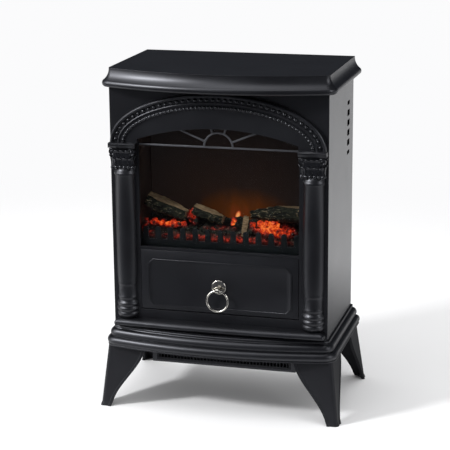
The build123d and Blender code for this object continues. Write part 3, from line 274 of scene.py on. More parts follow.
def mouldedPlastic(name, dark, light):
    # moulded ABS: fine spark-eroded texture
    material, tree, shader, place = newMaterial(name)
    grain = addNode(tree, "ShaderNodeTexNoise", links={"Vector": place}, Scale=perMetre(1.2),
                    Detail=2)
    tone = addNode(tree, "ShaderNodeValToRGB", links={"Fac": grain.outputs["Fac"]},
                   stops=[(0.3, dark), (0.7, light)])
    tree.links.new(tone.outputs["Color"], shader.inputs["Base Color"])
    shader.inputs["Roughness"].default_value = 0.48
    bump = addNode(tree, "ShaderNodeBump", links={"Height": grain.outputs["Fac"]},
                   Strength=0.15, Distance=0.0001)
    tree.links.new(bump.outputs["Normal"], shader.inputs["Normal"])
    return material


def platedNickel(name):
    # polished nickel plate: warm grey mirror with faint polishing drift
    material, tree, shader, place = newMaterial(name)
    drift = addNode(tree, "ShaderNodeTexNoise", links={"Vector": place}, Scale=perMetre(9),
                    Detail=3)
    tone = addNode(tree, "ShaderNodeValToRGB", links={"Fac": drift.outputs["Fac"]},
                   stops=[(0.3, "#b9b6af"), (0.7, "#d6d3cc")])
    tree.links.new(tone.outputs["Color"], shader.inputs["Base Color"])
    rough = addNode(tree, "ShaderNodeMapRange", links={"Value": drift.outputs["Fac"]},
                    To_Min=0.12, To_Max=0.22)
    tree.links.new(rough.outputs["Result"], shader.inputs["Roughness"])
    shader.inputs["Metallic"].default_value = 1.0
    return material


def temperedGlass(name):
    # 3 mm tempered pane: nearly all of the light goes through, with a faint film of dust on it
    material, tree, shader, place = newMaterial(name)
    film = addNode(tree, "ShaderNodeTexNoise", links={"Vector": place}, Scale=perMetre(90),
                   Detail=2)
    tone = addNode(tree, "ShaderNodeValToRGB", links={"Fac": film.outputs["Fac"]},
                   stops=[(0.3, "#0a0a0c"), (0.7, "#141417")])
    tree.links.new(tone.outputs["Color"], shader.inputs["Base Color"])
    shader.inputs["Roughness"].default_value = 0.05
    shader.inputs["Alpha"].default_value = 0.07
    return material


# where the flame lamp's light falls on the screen: centre and half size in millimetres,
# strength, and lean in degrees
flameSpots = [((10, -2, 332), (9, 9, 17), 1.05, 20), ((20, -2, 334), (125, 9, 72), 0.48, 0),
              ((0, -2, 360), (230, 9, 150), 0.13, 0)]


def glowMask(tree, place, spots):
    # soft spots, of which the strongest counts: each fades from its centre to its half size
    total = None
    for centre, half, strength, lean in spots:
        moved = addNode(tree, "ShaderNodeMapping", {"vector_type": "TEXTURE"}, {"Vector": place},
                        Location=tuple(v / 1000 for v in centre),
                        Rotation=(0, math.radians(lean), 0),
                        Scale=tuple(v / 1000 for v in half))
        away = addNode(tree, "ShaderNodeVectorMath", {"operation": "LENGTH"},
                       {0: moved.outputs["Vector"]})
        spot = addNode(tree, "ShaderNodeMapRange", {"interpolation_type": "SMOOTHSTEP"},
                       {"Value": away.outputs["Value"]},
                       From_Min=1.0, From_Max=0.15, To_Max=strength)
        if total is None:
            total = spot.outputs["Result"]
        else:
            total = addNode(tree, "ShaderNodeMath", {"operation": "MAXIMUM"},
                            {0: total, 1: spot.outputs["Result"]}).outputs["Value"]
    return total


def litFlameScreen(name, spots):
    # dark brown flame screen: the lamp behind it throws a low amber glow and one small lick
    material, tree, shader, place = newMaterial(name)
    mask = glowMask(tree, place, spots)
    stretched = addNode(tree, "ShaderNodeMapping", links={"Vector": place}, Scale=(1, 1, 0.4))
    licks = addNode(tree, "ShaderNodeTexNoise", links={"Vector": stretched.outputs["Vector"]},
                    Scale=perMetre(34), Detail=3, Distortion=0.6)
    wave = addNode(tree, "ShaderNodeMapRange", links={"Value": licks.outputs["Fac"]},
                   From_Min=0.3, From_Max=0.7, To_Min=0.72, To_Max=1.12)
    heat = addNode(tree, "ShaderNodeMath", {"operation": "MULTIPLY"},
                   {0: mask, 1: wave.outputs["Result"]})
    tone = addNode(tree, "ShaderNodeValToRGB", links={"Fac": heat.outputs["Value"]},
                   stops=[(0.0, "#0d0b0b"), (0.12, "#1a110d"), (0.26, "#301705"),
                          (0.42, "#482102"), (0.62, "#7a2a0e"), (0.85, "#d0602f"),
                          (1.0, "#f0a05c")])
    tree.links.new(tone.outputs["Color"], shader.inputs["Emission Color"])
    shader.inputs["Emission Strength"].default_value = 1.0
    shader.inputs["Base Color"].default_value = linearColour("#0c0908")
    shader.inputs["Roughness"].default_value = 0.9
    shader.inputs["Specular IOR Level"].default_value = 0.08
    return material


# where the ember lamps shine through the coals, given as the flame spots are
emberSpots = [((82, -50, 326), (60, 42, 20), 1.12, 10), ((-102, -48, 325), (70, 30, 13), 0.84, 0),
              ((-136, -66, 316), (20, 16, 12), 0.7, 0), ((-62, -36, 340), (18, 20, 22), 0.62, 0),
              ((-10, -50, 320), (60, 20, 8), 0.42, 0), ((14, -42, 330), (9, 16, 16), 1.25, 0),
              ((0, -72, 309), (230, 18, 13), 0.46, 0)]


def glowingEmbers(name, spots):
    # charcoal: grey ash on top, and orange to red light in the cracks over the lamps
    material, tree, shader, place = newMaterial(name)
    mask = glowMask(tree, place, spots)
    cells = addNode(tree, "ShaderNodeTexVoronoi", links={"Vector": place}, Scale=perMetre(7.5))
    grit = addNode(tree, "ShaderNodeTexNoise", links={"Vector": place}, Scale=perMetre(4.5),
                   Detail=4, Distortion=0.4)
    crack = addNode(tree, "ShaderNodeMapRange", links={"Value": cells.outputs["Distance"]},
                    From_Min=0.15, From_Max=0.75, To_Min=0.72, To_Max=1.15)
    gritty = addNode(tree, "ShaderNodeMapRange", links={"Value": grit.outputs["Fac"]},
                     From_Min=0.32, From_Max=0.68, To_Min=0.42, To_Max=1.2)
    broken = addNode(tree, "ShaderNodeMath", {"operation": "MULTIPLY"},
                     {0: crack.outputs["Result"], 1: gritty.outputs["Result"]})
    heat = addNode(tree, "ShaderNodeMath", {"operation": "MULTIPLY"},
                   {0: mask, 1: broken.outputs["Value"]})
    fire = addNode(tree, "ShaderNodeValToRGB", links={"Fac": heat.outputs["Value"]},
                   stops=[(0.10, "#000000"), (0.26, "#3f0806"), (0.48, "#a0200c"),
                          (0.74, "#dc4414"), (1.0, "#f97a32")])
    tree.links.new(fire.outputs["Color"], shader.inputs["Emission Color"])
    shader.inputs["Emission Strength"].default_value = 1.0
    ash = addNode(tree, "ShaderNodeValToRGB", links={"Fac": grit.outputs["Fac"]},
                  stops=[(0.3, "#0f1311"), (0.55, "#1d211c"), (0.72, "#4a463c")])
    tree.links.new(ash.outputs["Color"], shader.inputs["Base Color"])
    shader.inputs["Roughness"].default_value = 0.9
    shader.inputs["Specular IOR Level"].default_value = 0.15
    bump = addNode(tree, "ShaderNodeBump", links={"Height": grit.outputs["Fac"]},
                   Strength=0.6, Distance=0.001)
    tree.links.new(bump.outputs["Normal"], shader.inputs["Normal"])
    return material


def paintedBark(name):
    # moulded ceramic log painted as bark: dark green-grey with paler dry-brushed ridges
    material, tree, shader, place = newMaterial(name)
    stretched = addNode(tree, "ShaderNodeMapping", links={"Vector": place}, Scale=(0.4, 1, 1))
    ridges = addNode(tree, "ShaderNodeTexNoise", links={"Vector": stretched.outputs["Vector"]},
                     Scale=perMetre(4), Detail=5, Distortion=1.2)
    tone = addNode(tree, "ShaderNodeValToRGB", links={"Fac": ridges.outputs["Fac"]},
                   stops=[(0.36, "#060805"), (0.50, "#12150f"), (0.62, "#2a2b1f"),
                          (0.74, "#80735a")])
    tree.links.new(tone.outputs["Color"], shader.inputs["Base Color"])
    shader.inputs["Roughness"].default_value = 0.85
    shader.inputs["Specular IOR Level"].default_value = 0.15
    bump = addNode(tree, "ShaderNodeBump", links={"Height": ridges.outputs["Fac"]},
                   Strength=0.8, Distance=0.0016)
    tree.links.new(bump.outputs["Normal"], shader.inputs["Normal"])
    return material


def paintedSplitWood(name):
    # split side of a log: pale beige with fine darker grain along its length
    material, tree, shader, place = newMaterial(name)
    stretched = addNode(tree, "ShaderNodeMapping", links={"Vector": place}, Scale=(0.12, 1, 1))
    grain = addNode(tree, "ShaderNodeTexNoise", links={"Vector": stretched.outputs["Vector"]},
                    Scale=perMetre(2.2), Detail=4, Distortion=0.3)
    tone = addNode(tree, "ShaderNodeValToRGB", links={"Fac": grain.outputs["Fac"]},
                   stops=[(0.3, "#584733"), (0.5, "#7c694f"), (0.75, "#a08b6c")])
    tree.links.new(tone.outputs["Color"], shader.inputs["Base Color"])
    shader.inputs["Roughness"].default_value = 0.8
    shader.inputs["Specular IOR Level"].default_value = 0.2
    bump = addNode(tree, "ShaderNodeBump", links={"Height": grain.outputs["Fac"]},
                   Strength=0.4, Distance=0.0005)
    tree.links.new(bump.outputs["Normal"], shader.inputs["Normal"])
    return material


def ledBoard(name):
    # white circuit board with amber lamps on it, which stand above the board's face
    material, tree, shader, place = newMaterial(name)
    boardFace = 0.2904
    height = addNode(tree, "ShaderNodeSeparateXYZ", links={"Vector": place}).outputs["Z"]
    chips = addNode(tree, "ShaderNodeMath", {"operation": "GREATER_THAN"}, {0: height})
    chips.inputs[1].default_value = boardFace
    mask = addNode(tree, "ShaderNodeTexNoise", links={"Vector": place}, Scale=perMetre(4),
                   Detail=2)
    board = addNode(tree, "ShaderNodeValToRGB", links={"Fac": mask.outputs["Fac"]},
                    stops=[(0.3, "#d8d2c4"), (0.7, "#e6e0d2")])
    tree.links.new(board.outputs["Color"], shader.inputs["Base Color"])
    lamps = addNode(tree, "ShaderNodeValToRGB", links={"Fac": chips.outputs["Value"]},
                    stops=[(0.0, "#000000"), (1.0, "#ff7a1e")])
    tree.links.new(lamps.outputs["Color"], shader.inputs["Emission Color"])
    shader.inputs["Emission Strength"].default_value = 3.0
    return material


castEnamel = satinStoveEnamel("satinStoveEnamel", enamel)
carvedEnamel = satinStoveEnamel("enamelOnCarving",
                                dict(enamel, roughness=(0.22, 0.28), softEdge=0.4))
# the fanlight's lighter grey tone on the same black enamel is painted light: its bars read as lit
# in the dark recess under the arch
fanlightEnamelPaintedLight = satinStoveEnamel("enamelOnFanlightWithPaintedLight",
                                  dict(enamel, dark="#36373a", light="#414246"))
legEnamel = satinStoveEnamel("mattEnamelOnLegs", dict(enamel, roughness=(0.5, 0.58), gloss=0.3))
# the fret's darker, teal-tinted enamel is painted shade on the teeth behind the glass, with a faint
# painted teal reflection
fretEnamelPaintedShadeAndSheen = satinStoveEnamel("fretEnamelWithPaintedShadeAndTeal",
                              dict(enamel, dark="#05090a", light="#0a1212",
                                   roughness=(0.42, 0.5), gloss=0.3))
sheetEnamel = satinStoveEnamel("satinEnamelOnSheet",
                               dict(enamel, orangePeel=9.0, roughness=(0.22, 0.28)))
zincSheet = sheetSteel("zincPlatedSheet", "#7d7f82", "#9a9b9d", 0.42, 1.0)
pinSteel = sheetSteel("drawnSteelWire", "#8b8c8e", "#a9aaab", 0.32, 1.0)
fanAluminium = sheetSteel("pressedAluminium", "#a5a6a8", "#bcbdbe", 0.38, 1.0)
heatProofBlack = sheetSteel("heatProofBlackSheet", "#0a0909", "#121110", 0.62)
# the cheeks' warm brown tone, lighter than the shelf and roof of the same sheet, is painted glow of
# the fire on them
cheekSheetPaintedGlow = sheetSteel("sheetWithPaintedFireGlow", "#2a1f19", "#3b2c23", 0.6)
nickel = platedNickel("polishedNickelPlate")
glassPane = temperedGlass("temperedWindowGlass")
flameScreen = litFlameScreen("litFlameScreen", flameSpots)
blackAbs = mouldedPlastic("blackAbsMoulding", "#0d0d0e", "#161617")
lampBoard = ledBoard("amberLampBoard")
embers = glowingEmbers("glowingCharcoal", emberSpots)
bark = paintedBark("paintedBark")
splitWood = paintedSplitWood("paintedSplitWood")

finishOf = {
    castEnamel: ["lid", "base_moulding", "sill", "front_panel", "arch_moulding", "arch_cove",
                 "left_column", "right_column", "control_door"],
    fanlightEnamelPaintedLight: ["fanlight"],
    fretEnamelPaintedShadeAndSheen: ["fret"],
    sheetEnamel: ["left_side_panel", "right_side_panel", "rear_cover", "base_deck",
                  "heater_housing", "control_tray"],
    legEnamel: ["front_left_leg", "front_right_leg", "rear_left_leg", "rear_right_leg",
                "outlet_grille"],
    heatProofBlack: ["fire_shelf", "chamber_roof"],
    cheekSheetPaintedGlow: ["left_cheek", "right_cheek"],
    zincSheet: ["reflector", "glass_clips", "spindle_bearing", "spindle_motor", "blower_motor",
                "blower_bearing", "thermal_cutout"],
    pinSteel: ["hinge_pins", "rear_screws", "flame_spindle"],
    fanAluminium: ["blower_wheel", "heating_element"],
    nickel: ["pull_ring", "pull_boss"],
    glassPane: ["window_glass"],
    flameScreen: ["flame_screen"],
    blackAbs: ["cord_gland", "switch_housings", "power_rocker", "low_heat_rocker",
               "high_heat_rocker", "thermostat_body", "thermostat_knob"],
    lampBoard: ["ember_light", "flame_light"],
    embers: ["ember_bed"],
    bark: ["log_left", "log_middle", "log_right", "log_stub"],
}
for finish, names in finishOf.items():
    for name in names:
        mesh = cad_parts[name].data
        mesh.materials.clear()
        mesh.materials.append(finish)
print("materials on the frame")


def deselectAll():
    if bpy.context.object and bpy.context.object.mode != "OBJECT":
        bpy.ops.object.mode_set(mode="OBJECT")
    bpy.ops.object.select_all(action="DESELECT")


def startEdit():
    # edit mode with the whole mesh selected
    bpy.ops.object.mode_set(mode="EDIT")
    bpy.ops.mesh.select_all(action="SELECT")


def endEdit():
    bpy.ops.object.mode_set(mode="OBJECT")


def pick(piece, test, kind="FACE"):
    # in edit mode, selects the faces or the points of the piece that pass the test
    bpy.ops.object.mode_set(mode="EDIT")
    bpy.ops.mesh.select_mode(type=kind)
    bpy.ops.mesh.select_all(action="DESELECT")
    bpy.ops.object.mode_set(mode="OBJECT")
    if kind == "FACE":
        for face in piece.data.polygons:
            face.select = test(face.center, face.normal)
    else:
        for point in piece.data.vertices:
            point.select = test(point.co)
    bpy.ops.object.mode_set(mode="EDIT")


def useModifier(piece, kind, **settings):
    modifier = piece.modifiers.new(kind.title(), kind)
    for key, value in settings.items():
        setattr(modifier, key, value)
    bpy.context.view_layer.objects.active = piece
    bpy.ops.object.modifier_apply(modifier=modifier.name)


def roughen(piece, name, kind, scale, settings=None, **push):
    # moves the surface by a procedural texture
    texture = bpy.data.textures.new(name, kind)
    texture.noise_scale = scale
    for key, value in (settings or {}).items():
        setattr(texture, key, value)
    useModifier(piece, "DISPLACE", texture=texture, texture_coords="LOCAL", **push)


def copyNode(name):
    # a merged copy of one of the frame's pieces, ready to be worked on
    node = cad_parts[name]
    piece = node.copy()
    piece.data = node.data.copy()
    bpy.context.collection.objects.link(piece)
    deselectAll()
    piece.select_set(True)
    bpy.context.view_layer.objects.active = piece
    startEdit()
    bpy.ops.mesh.remove_doubles(threshold=0.00001)
    endEdit()
    return piece


def joinPieces(pieces):
    deselectAll()
    for piece in pieces:
        piece.select_set(True)
    bpy.context.view_layer.objects.active = pieces[0]
    bpy.ops.object.join()
    return pieces[0]


def copyToPlaces(master, places):
    # one copy of the master at each place, joined into one piece
    deselectAll()
    for place in places:
        one = master.copy()
        one.data = master.data.copy()
        one.data.transform(place)
        bpy.context.collection.objects.link(one)
        one.select_set(True)
        bpy.context.view_layer.objects.active = one
    bpy.data.objects.remove(master)
    bpy.ops.object.join()
    return bpy.context.object


def finishPiece(piece, name, finish, smooth, body="stove"):
    # a finish of None keeps the materials that the piece's own faces already have
    piece.name = name
    piece.data.name = name
    if finish:
        piece.data.materials.clear()
        piece.data.materials.append(finish)
    deselectAll()
    piece.select_set(True)
    bpy.context.view_layer.objects.active = piece
    bpy.ops.object.shade_smooth_by_angle(angle=math.radians(smooth))
    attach(piece, body)


# carved rows of the arch, in metres: eggs in their cups on the flat band, pearls on the inner bead
archCarving = {
    "bandWidth": 0.0252, "pathSteps": 720,
    "eggs": {"offset": 0.00285, "proud": 0.0086, "pitch": 0.0104,
             "size": (0.0068, 0.0058, 0.0066), "cutAt": -0.0001},
    # the cup round an egg: how wide it opens in its two steps, how far it rises and falls back
    "cup": {"opens": (1.18, 1.22), "flares": 1.14, "rise": 0.0004, "fall": 0.0008},
    "pearls": {"offset": -0.0102, "proud": 0.0081, "pitch": 0.0068,
               "size": (0.0064, 0.0062, 0.0066), "cutAt": -0.0012}}


def archPlaces(offset, proud, pitch):
    # places along the arch at equal steps: X along it, Y away from its middle, Z to the front
    low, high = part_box("arch_moulding")
    halfWide = (high.x - low.x - archCarving["bandWidth"]) / 2
    tall = high.z - low.z - archCarving["bandWidth"] / 2
    path, length = [], 0.0
    for step in range(archCarving["pathSteps"] + 1):
        turn = math.pi * step / archCarving["pathSteps"]
        outward = Vector((tall * math.cos(turn), 0, halfWide * math.sin(turn))).normalized()
        point = Vector((halfWide * math.cos(turn), high.y - proud,
                        low.z + tall * math.sin(turn))) + outward * offset
        if path:
            length += (point - path[-1][0]).length
        path.append((point, outward, length))
    front = Vector((0, -1, 0))
    count = int(length / pitch)
    places, wanted = [], (length - (count - 1) * pitch) / 2
    for point, outward, travelled in path:
        if travelled >= wanted and len(places) < count:
            turn = Matrix((outward.cross(front), outward, front)).transposed().to_4x4()
            places.append(Matrix.Translation(point) @ turn)
            wanted += pitch
    return places


def makeBead(size):
    # a small ball squeezed to its size and left in edit mode
    deselectAll()
    bpy.ops.mesh.primitive_uv_sphere_add(segments=12, ring_count=8, radius=0.5)
    bead = bpy.context.object
    startEdit()
    bpy.ops.transform.resize(value=size, center_override=(0, 0, 0))
    return bead


def makeCarvedRow(name, setup, cup=None):
    bead = makeBead(setup["size"])
    bpy.ops.mesh.bisect(plane_co=(0, 0, setup["cutAt"]), plane_no=(0, 0, 1), clear_inner=True)
    if cup:
        # the cut rim goes out, up and over
        bpy.ops.mesh.extrude_region_move()
        bpy.ops.transform.resize(value=(*cup["opens"], 1), center_override=(0, 0, 0))
        bpy.ops.transform.translate(value=(0, 0, cup["rise"]))
        bpy.ops.mesh.extrude_region_move()
        bpy.ops.transform.resize(value=(cup["flares"], cup["flares"], 1),
                                 center_override=(0, 0, 0))
        bpy.ops.transform.translate(value=(0, 0, -cup["fall"]))
    endEdit()
    row = copyToPlaces(bead, archPlaces(setup["offset"], setup["proud"], setup["pitch"]))
    finishPiece(row, name, carvedEnamel, 60)


makeCarvedRow("archEggs", archCarving["eggs"], archCarving["cup"])
makeCarvedRow("archPearls", archCarving["pearls"])
print("arch carved")

# turned half-round columns, in millimetres: each step is how high above the sill, and the radius
columnTurning = {
    "axisBehind": 5.0, "capitalStarts": 431.2, "sides": 56, "chamfer": 3, "cutFront": 0.2,
    "steps": [(0.6, 16.0), (2.4, 17.8), (5, 19.4), (8, 20.2), (10.6, 19.6), (12, 18.4),
              (12.8, 18.9), (14.8, 20.3), (17.2, 20.8), (19.6, 20.2), (21.2, 18.4), (21.9, 18.6),
              (23.8, 19.9), (26.2, 20.4), (28.6, 19.8), (30.2, 18.1), (33, 17.3), (35.4, 17.6),
              (37.6, 18.7), (39.6, 18.3), (41.4, 17.7), (58, 17.8), (60.4, 18.0), (62.4, 18.9),
              (64.4, 18.3), (67, 18.6), (80, 19.3), (160, 19.6), (254.5, 19.3), (255.5, 20.0),
              (258, 20.8), (260.4, 20.0), (262, 19.0), (268.5, 19.2)]}


def makeColumn(side, setup):
    node = side + "_column"
    low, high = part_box(node)
    axis = Vector(((low.x + high.x) / 2, high.y + setup["axisBehind"] / 1000, low.z))
    deselectAll()
    height, radius = 0.0, setup["steps"][0][1] - setup["chamfer"]
    bpy.ops.mesh.primitive_circle_add(vertices=setup["sides"], radius=radius / 1000,
                                      fill_type="NGON", location=axis)
    column = bpy.context.object
    column.data.transform(column.matrix_world)
    column.matrix_world = Matrix.Identity(4)
    startEdit()
    for above, wide in setup["steps"]:
        bpy.ops.mesh.extrude_region_move()
        bpy.ops.transform.resize(value=(wide / radius, wide / radius, 1), center_override=axis)
        bpy.ops.transform.translate(value=(0, 0, (above - height) / 1000))
        radius, height = wide, above
    # the half behind the panel's face is cut away
    bpy.ops.mesh.select_all(action="SELECT")
    bpy.ops.mesh.bisect(plane_co=(0, high.y - setup["cutFront"] / 1000, 0), plane_no=(0, 1, 0),
                        clear_outer=True, use_fill=True)
    bpy.ops.mesh.select_all(action="SELECT")
    bpy.ops.mesh.normals_make_consistent(inside=False)
    endEdit()
    # the capital's bell and slab come from the frame's own column
    top = copyNode(node)
    startEdit()
    bpy.ops.mesh.bisect(plane_co=(0, 0, setup["capitalStarts"] / 1000), plane_no=(0, 0, 1),
                        clear_inner=True, use_fill=True)
    endEdit()
    column = joinPieces([column, top])
    finishPiece(column, side + "ColumnTurned", castEnamel, 40)
    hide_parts(node)


for side in ("left", "right"):
    makeColumn(side, columnTurning)
print("columns turned")

# leaves, scrolls and beads on each capital, in metres: across from its axis, back from its face
# and up from its foot
capital = {
    "foot": 0.432, "top": 0.466, "proud": 0.0148,
    "leafWide": 0.0105, "leafThick": 0.0011, "leafCells": (6, 10), "lowerLeaf": 0.016,
    "upperLeaf": 0.020,
    "rib": 0.0011, "fold": 0.0004, "stem": (0.2, 0.75),
    # the leaf's tip: from what share of its height, how much narrower, how far forwards and down
    "curl": [(0.35, 1.12, 0.0003, 0), (0.55, 0.98, 0.0006, 0), (0.75, 0.80, 0.0013, 0.0003),
             (0.85, 0.66, 0.0016, 0.0012), (0.96, 0.45, 0.0007, 0.0030)],
    # lower leaves: across, back and turn; upper leaves stand between them, side leaves behind
    "lowerPlaces": [(-0.0155, 0.0012, -0.5), (-0.0053, 0, 0), (0.0053, 0, 0),
                    (0.0155, 0.0012, 0.5)],
    "lowerUp": 0.0025, "upperAcross": (-0.0095, 0, 0.0095), "upperBack": -0.0004,
    "upperUp": 0.012, "sideAcross": 0.0206, "sideBack": 0.0075, "sideUps": (0.0025, 0.013),
    # a scroll is inset again and again: rim, channel, turn, channel and eye
    "scrollRadius": 0.0058, "scrollThick": 0.005, "scrollEdge": 0.0004,
    "scrollInsets": [(0.0012, 0), (0.0003, -0.0012), (0.0016, 0), (0.0003, 0.0011),
                     (0.0009, 0.0005)],
    "scrollAcross": 0.0172, "scrollBack": 0.0012, "scrollDown": 0.0068,
    "beadSize": 0.0062, "beadFlat": (0.3, 0.85), "beadPitch": 0.0072, "beadCount": 6,
    "beadBack": 0.0016, "endBeadAcross": 0.0196, "endBeadBack": 0.0082}


def makeLeaf(setup, tall):
    # an upright leaf with a raised rib and a tip that curls forwards: X across, Y up, Z to front
    deselectAll()
    across, up = setup["leafCells"]
    bpy.ops.mesh.primitive_grid_add(x_subdivisions=across, y_subdivisions=up, size=1)
    leaf = bpy.context.object
    wide = setup["leafWide"]
    startEdit()
    bpy.ops.transform.resize(value=(wide, tall, 1), center_override=(0, 0, 0))
    bpy.ops.transform.translate(value=(0, tall / 2, 0))
    endEdit()
    pick(leaf, lambda co: abs(co.x) < wide * 0.1, "VERT")
    bpy.ops.transform.translate(value=(0, 0, setup["rib"]))
    endEdit()
    pick(leaf, lambda co: abs(abs(co.x) - wide / 3) < wide * 0.02, "VERT")
    bpy.ops.transform.translate(value=(0, 0, setup["fold"]))
    endEdit()
    for start, width, forward, drop in setup["curl"]:
        pick(leaf, lambda co: co.y > tall * start, "VERT")
        bpy.ops.transform.resize(value=(width, 1, 1), center_override=(0, 0, 0))
        bpy.ops.transform.translate(value=(0, -drop, forward))
        endEdit()
    stemHigh, stemWide = setup["stem"]
    pick(leaf, lambda co: co.y < tall * stemHigh, "VERT")
    bpy.ops.transform.resize(value=(stemWide, 1, 1), center_override=(0, 0, 0))
    endEdit()
    useModifier(leaf, "SOLIDIFY", thickness=setup["leafThick"], offset=-1)
    useModifier(leaf, "SUBSURF", levels=1, render_levels=1)
    return leaf


def makeScroll(setup):
    # a volute: a disc with a raised rim, a sunk channel and an eye, its axis along Z
    deselectAll()
    bpy.ops.mesh.primitive_cylinder_add(vertices=24, radius=setup["scrollRadius"],
                                        depth=setup["scrollThick"])
    scroll = bpy.context.object
    pick(scroll, lambda centre, normal: normal.z > 0.9)
    for thickness, depth in setup["scrollInsets"]:
        bpy.ops.mesh.inset(thickness=thickness, depth=depth)
    endEdit()
    useModifier(scroll, "BEVEL", width=setup["scrollEdge"], segments=2, limit_method="ANGLE",
                angle_limit=math.radians(30))
    return scroll


def makeCapitalBead(setup):
    size = setup["beadSize"]
    bead = makeBead((size, size, size))
    endEdit()
    tip, squeeze = setup["beadFlat"]
    pick(bead, lambda co: co.z > size * tip, "VERT")
    bpy.ops.transform.resize(value=(1, 1, squeeze), center_override=(0, 0, 0))
    endEdit()
    return bead


def capitalPlaces(node, setup):
    # where the lower leaves, the upper and side leaves, the scrolls and the beads go
    low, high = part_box(node)
    middle = (low.x + high.x) / 2
    toFront = Matrix(((1, 0, 0), (0, 0, -1), (0, 1, 0))).to_4x4()

    def place(across, back, up, turn=0.0):
        spot = (middle + across, high.y - setup["proud"] + back, up)
        return Matrix.Translation(spot) @ Matrix.Rotation(turn, 4, "Z") @ toFront

    foot, ends = setup["foot"], (-1, 1)
    lower = [place(across, back, foot + setup["lowerUp"], turn)
             for across, back, turn in setup["lowerPlaces"]]
    upper = [place(across, setup["upperBack"], foot + setup["upperUp"])
             for across in setup["upperAcross"]]
    upper += [place(end * setup["sideAcross"], setup["sideBack"], foot + up, end * math.pi / 2)
              for end in ends for up in setup["sideUps"]]
    scrolls = [place(end * setup["scrollAcross"], setup["scrollBack"],
                     setup["top"] - setup["scrollDown"]) for end in ends]
    count = setup["beadCount"]
    beads = [place((step - (count - 1) / 2) * setup["beadPitch"], setup["beadBack"], foot)
             for step in range(count)]
    beads += [place(end * setup["endBeadAcross"], setup["endBeadBack"], foot) for end in ends]
    return lower, upper, scrolls, beads


def makeCapital(side, setup):
    lower, upper, scrolls, beads = capitalPlaces(side + "_column", setup)
    carving = joinPieces([copyToPlaces(makeLeaf(setup, setup["lowerLeaf"]), lower),
                          copyToPlaces(makeLeaf(setup, setup["upperLeaf"]), upper),
                          copyToPlaces(makeScroll(setup), scrolls),
                          copyToPlaces(makeCapitalBead(setup), beads)])
    finishPiece(carving, side + "CapitalCarving", carvedEnamel, 50)


for side in ("left", "right"):
    makeCapital(side, capital)
print("capitals carved")

# castings are round on their edges; a width is how round, in metres
roundedCastings = {
    "fanlight": {"name": "fanlightBars", "finish": fanlightEnamelPaintedLight, "width": 0.0011,
                 "body": "stove", "slot": "sheet_black"},
    "fret": {"name": "fretTeeth", "finish": fretEnamelPaintedShadeAndSheen, "width": 0.0008,
             "body": "stove", "slot": "sheet_black"},
    "control_door": {"name": "doorCasting", "finish": castEnamel, "width": 0.0006,
                     "body": "door", "slot": "cast_black"}}


def roundCasting(node, setup):
    casting = copyNode(node)
    useModifier(casting, "BEVEL", width=setup["width"], segments=3, limit_method="ANGLE",
                angle_limit=math.radians(50))
    finishPiece(casting, setup["name"], setup["finish"], 50, setup["body"])
    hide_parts(node)


for node, setup in roundedCastings.items():
    roundCasting(node, setup)
print("castings rounded")

# the sill's top rolls over into its front: how far back and how high the roll goes, in metres
sillRoll = {"back": 0.012, "height": 0.0078, "steps": 7, "hair": 0.0001}


def makeSill(setup):
    sill = copyNode("sill")
    low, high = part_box("sill")
    start = high.z - setup["height"]
    startEdit()
    bpy.ops.mesh.bisect(plane_co=(0, 0, start), plane_no=(0, 0, 1), clear_outer=True,
                        use_fill=True)
    endEdit()
    pick(sill, lambda centre, normal: centre.z > start - setup["hair"] and normal.z > 0.9)
    wide, deep = high.x, high.y - low.y
    back, raised = 0.0, 0.0
    for step in range(setup["steps"]):
        turn = (step + 1) / setup["steps"] * math.pi / 2
        nextBack = setup["back"] * (1 - math.cos(turn))
        nextRaised = setup["height"] * math.sin(turn)
        bpy.ops.mesh.extrude_region_move()
        bpy.ops.transform.resize(value=((wide - nextBack) / (wide - back),
                                        (deep - nextBack) / (deep - back), 1),
                                 center_override=(0, high.y, 0))
        bpy.ops.transform.translate(value=(0, 0, nextRaised - raised))
        back, raised = nextBack, nextRaised
    endEdit()
    finishPiece(sill, "sillMoulding", castEnamel, 50)
    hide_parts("sill")


makeSill(sillRoll)
print("sill rolled")

# logs of the fire: their ends as shares of the ember bed across, back and up, the radius at each
# end in millimetres, and where and how steeply each is split flat
fireLogs = {
    "log_left": {"first": (-0.95, 0.42, 1.71), "last": (-0.47, 0.34, 1.14),
                 "radii": (17, 12.5), "split": 0.62, "lean": 0.0, "facing": (0, -0.08, 1),
                 "ridge": 0.22, "barrel": 0.26},
    "log_middle": {"first": (-0.40, 0.52, 1.35), "last": (-0.03, 0.42, 1.0),
                   "radii": (14, 9.5), "split": 0.60, "lean": 0.0, "facing": (0, -0.08, 1),
                   "ridge": 0.24, "barrel": 0.26},
    "log_right": {"first": (0.29, 0.46, 1.26), "last": (0.98, 0.52, 1.42),
                  "radii": (7.5, 20), "split": 0.62, "lean": 0.38, "facing": (0, 0.1, 1),
                  "ridge": 0.20, "barrel": 0.12},
    "log_stub": {"first": (0.238, 0.16, 0.5), "last": (0.262, 0.28, 1.26),
                 "radii": (4.6, 5.2), "split": 0.2, "lean": 0.0, "facing": (0.35, -1, 0.2),
                 "ridge": 0.38, "barrel": 0.06}}
# bark relief as shares of the radius, and how squarely a face looks along to count as sawn or split
barkRelief = {"sides": 40, "rings": 30, "ridgeHigh": 0.26, "ridgeDetail": 4, "ridgeContrast": 1.5,
              "plateScale": 1.2, "plateHigh": 0.16, "plateMiddle": 0.4,
              "splitFacing": 0.995, "sawnFacing": 0.92}


def onBed(across, back, up):
    low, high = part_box("ember_bed")
    return Vector((high.x * across, low.y + (high.y - low.y) * back,
                   low.z + (high.z - low.z) * up))


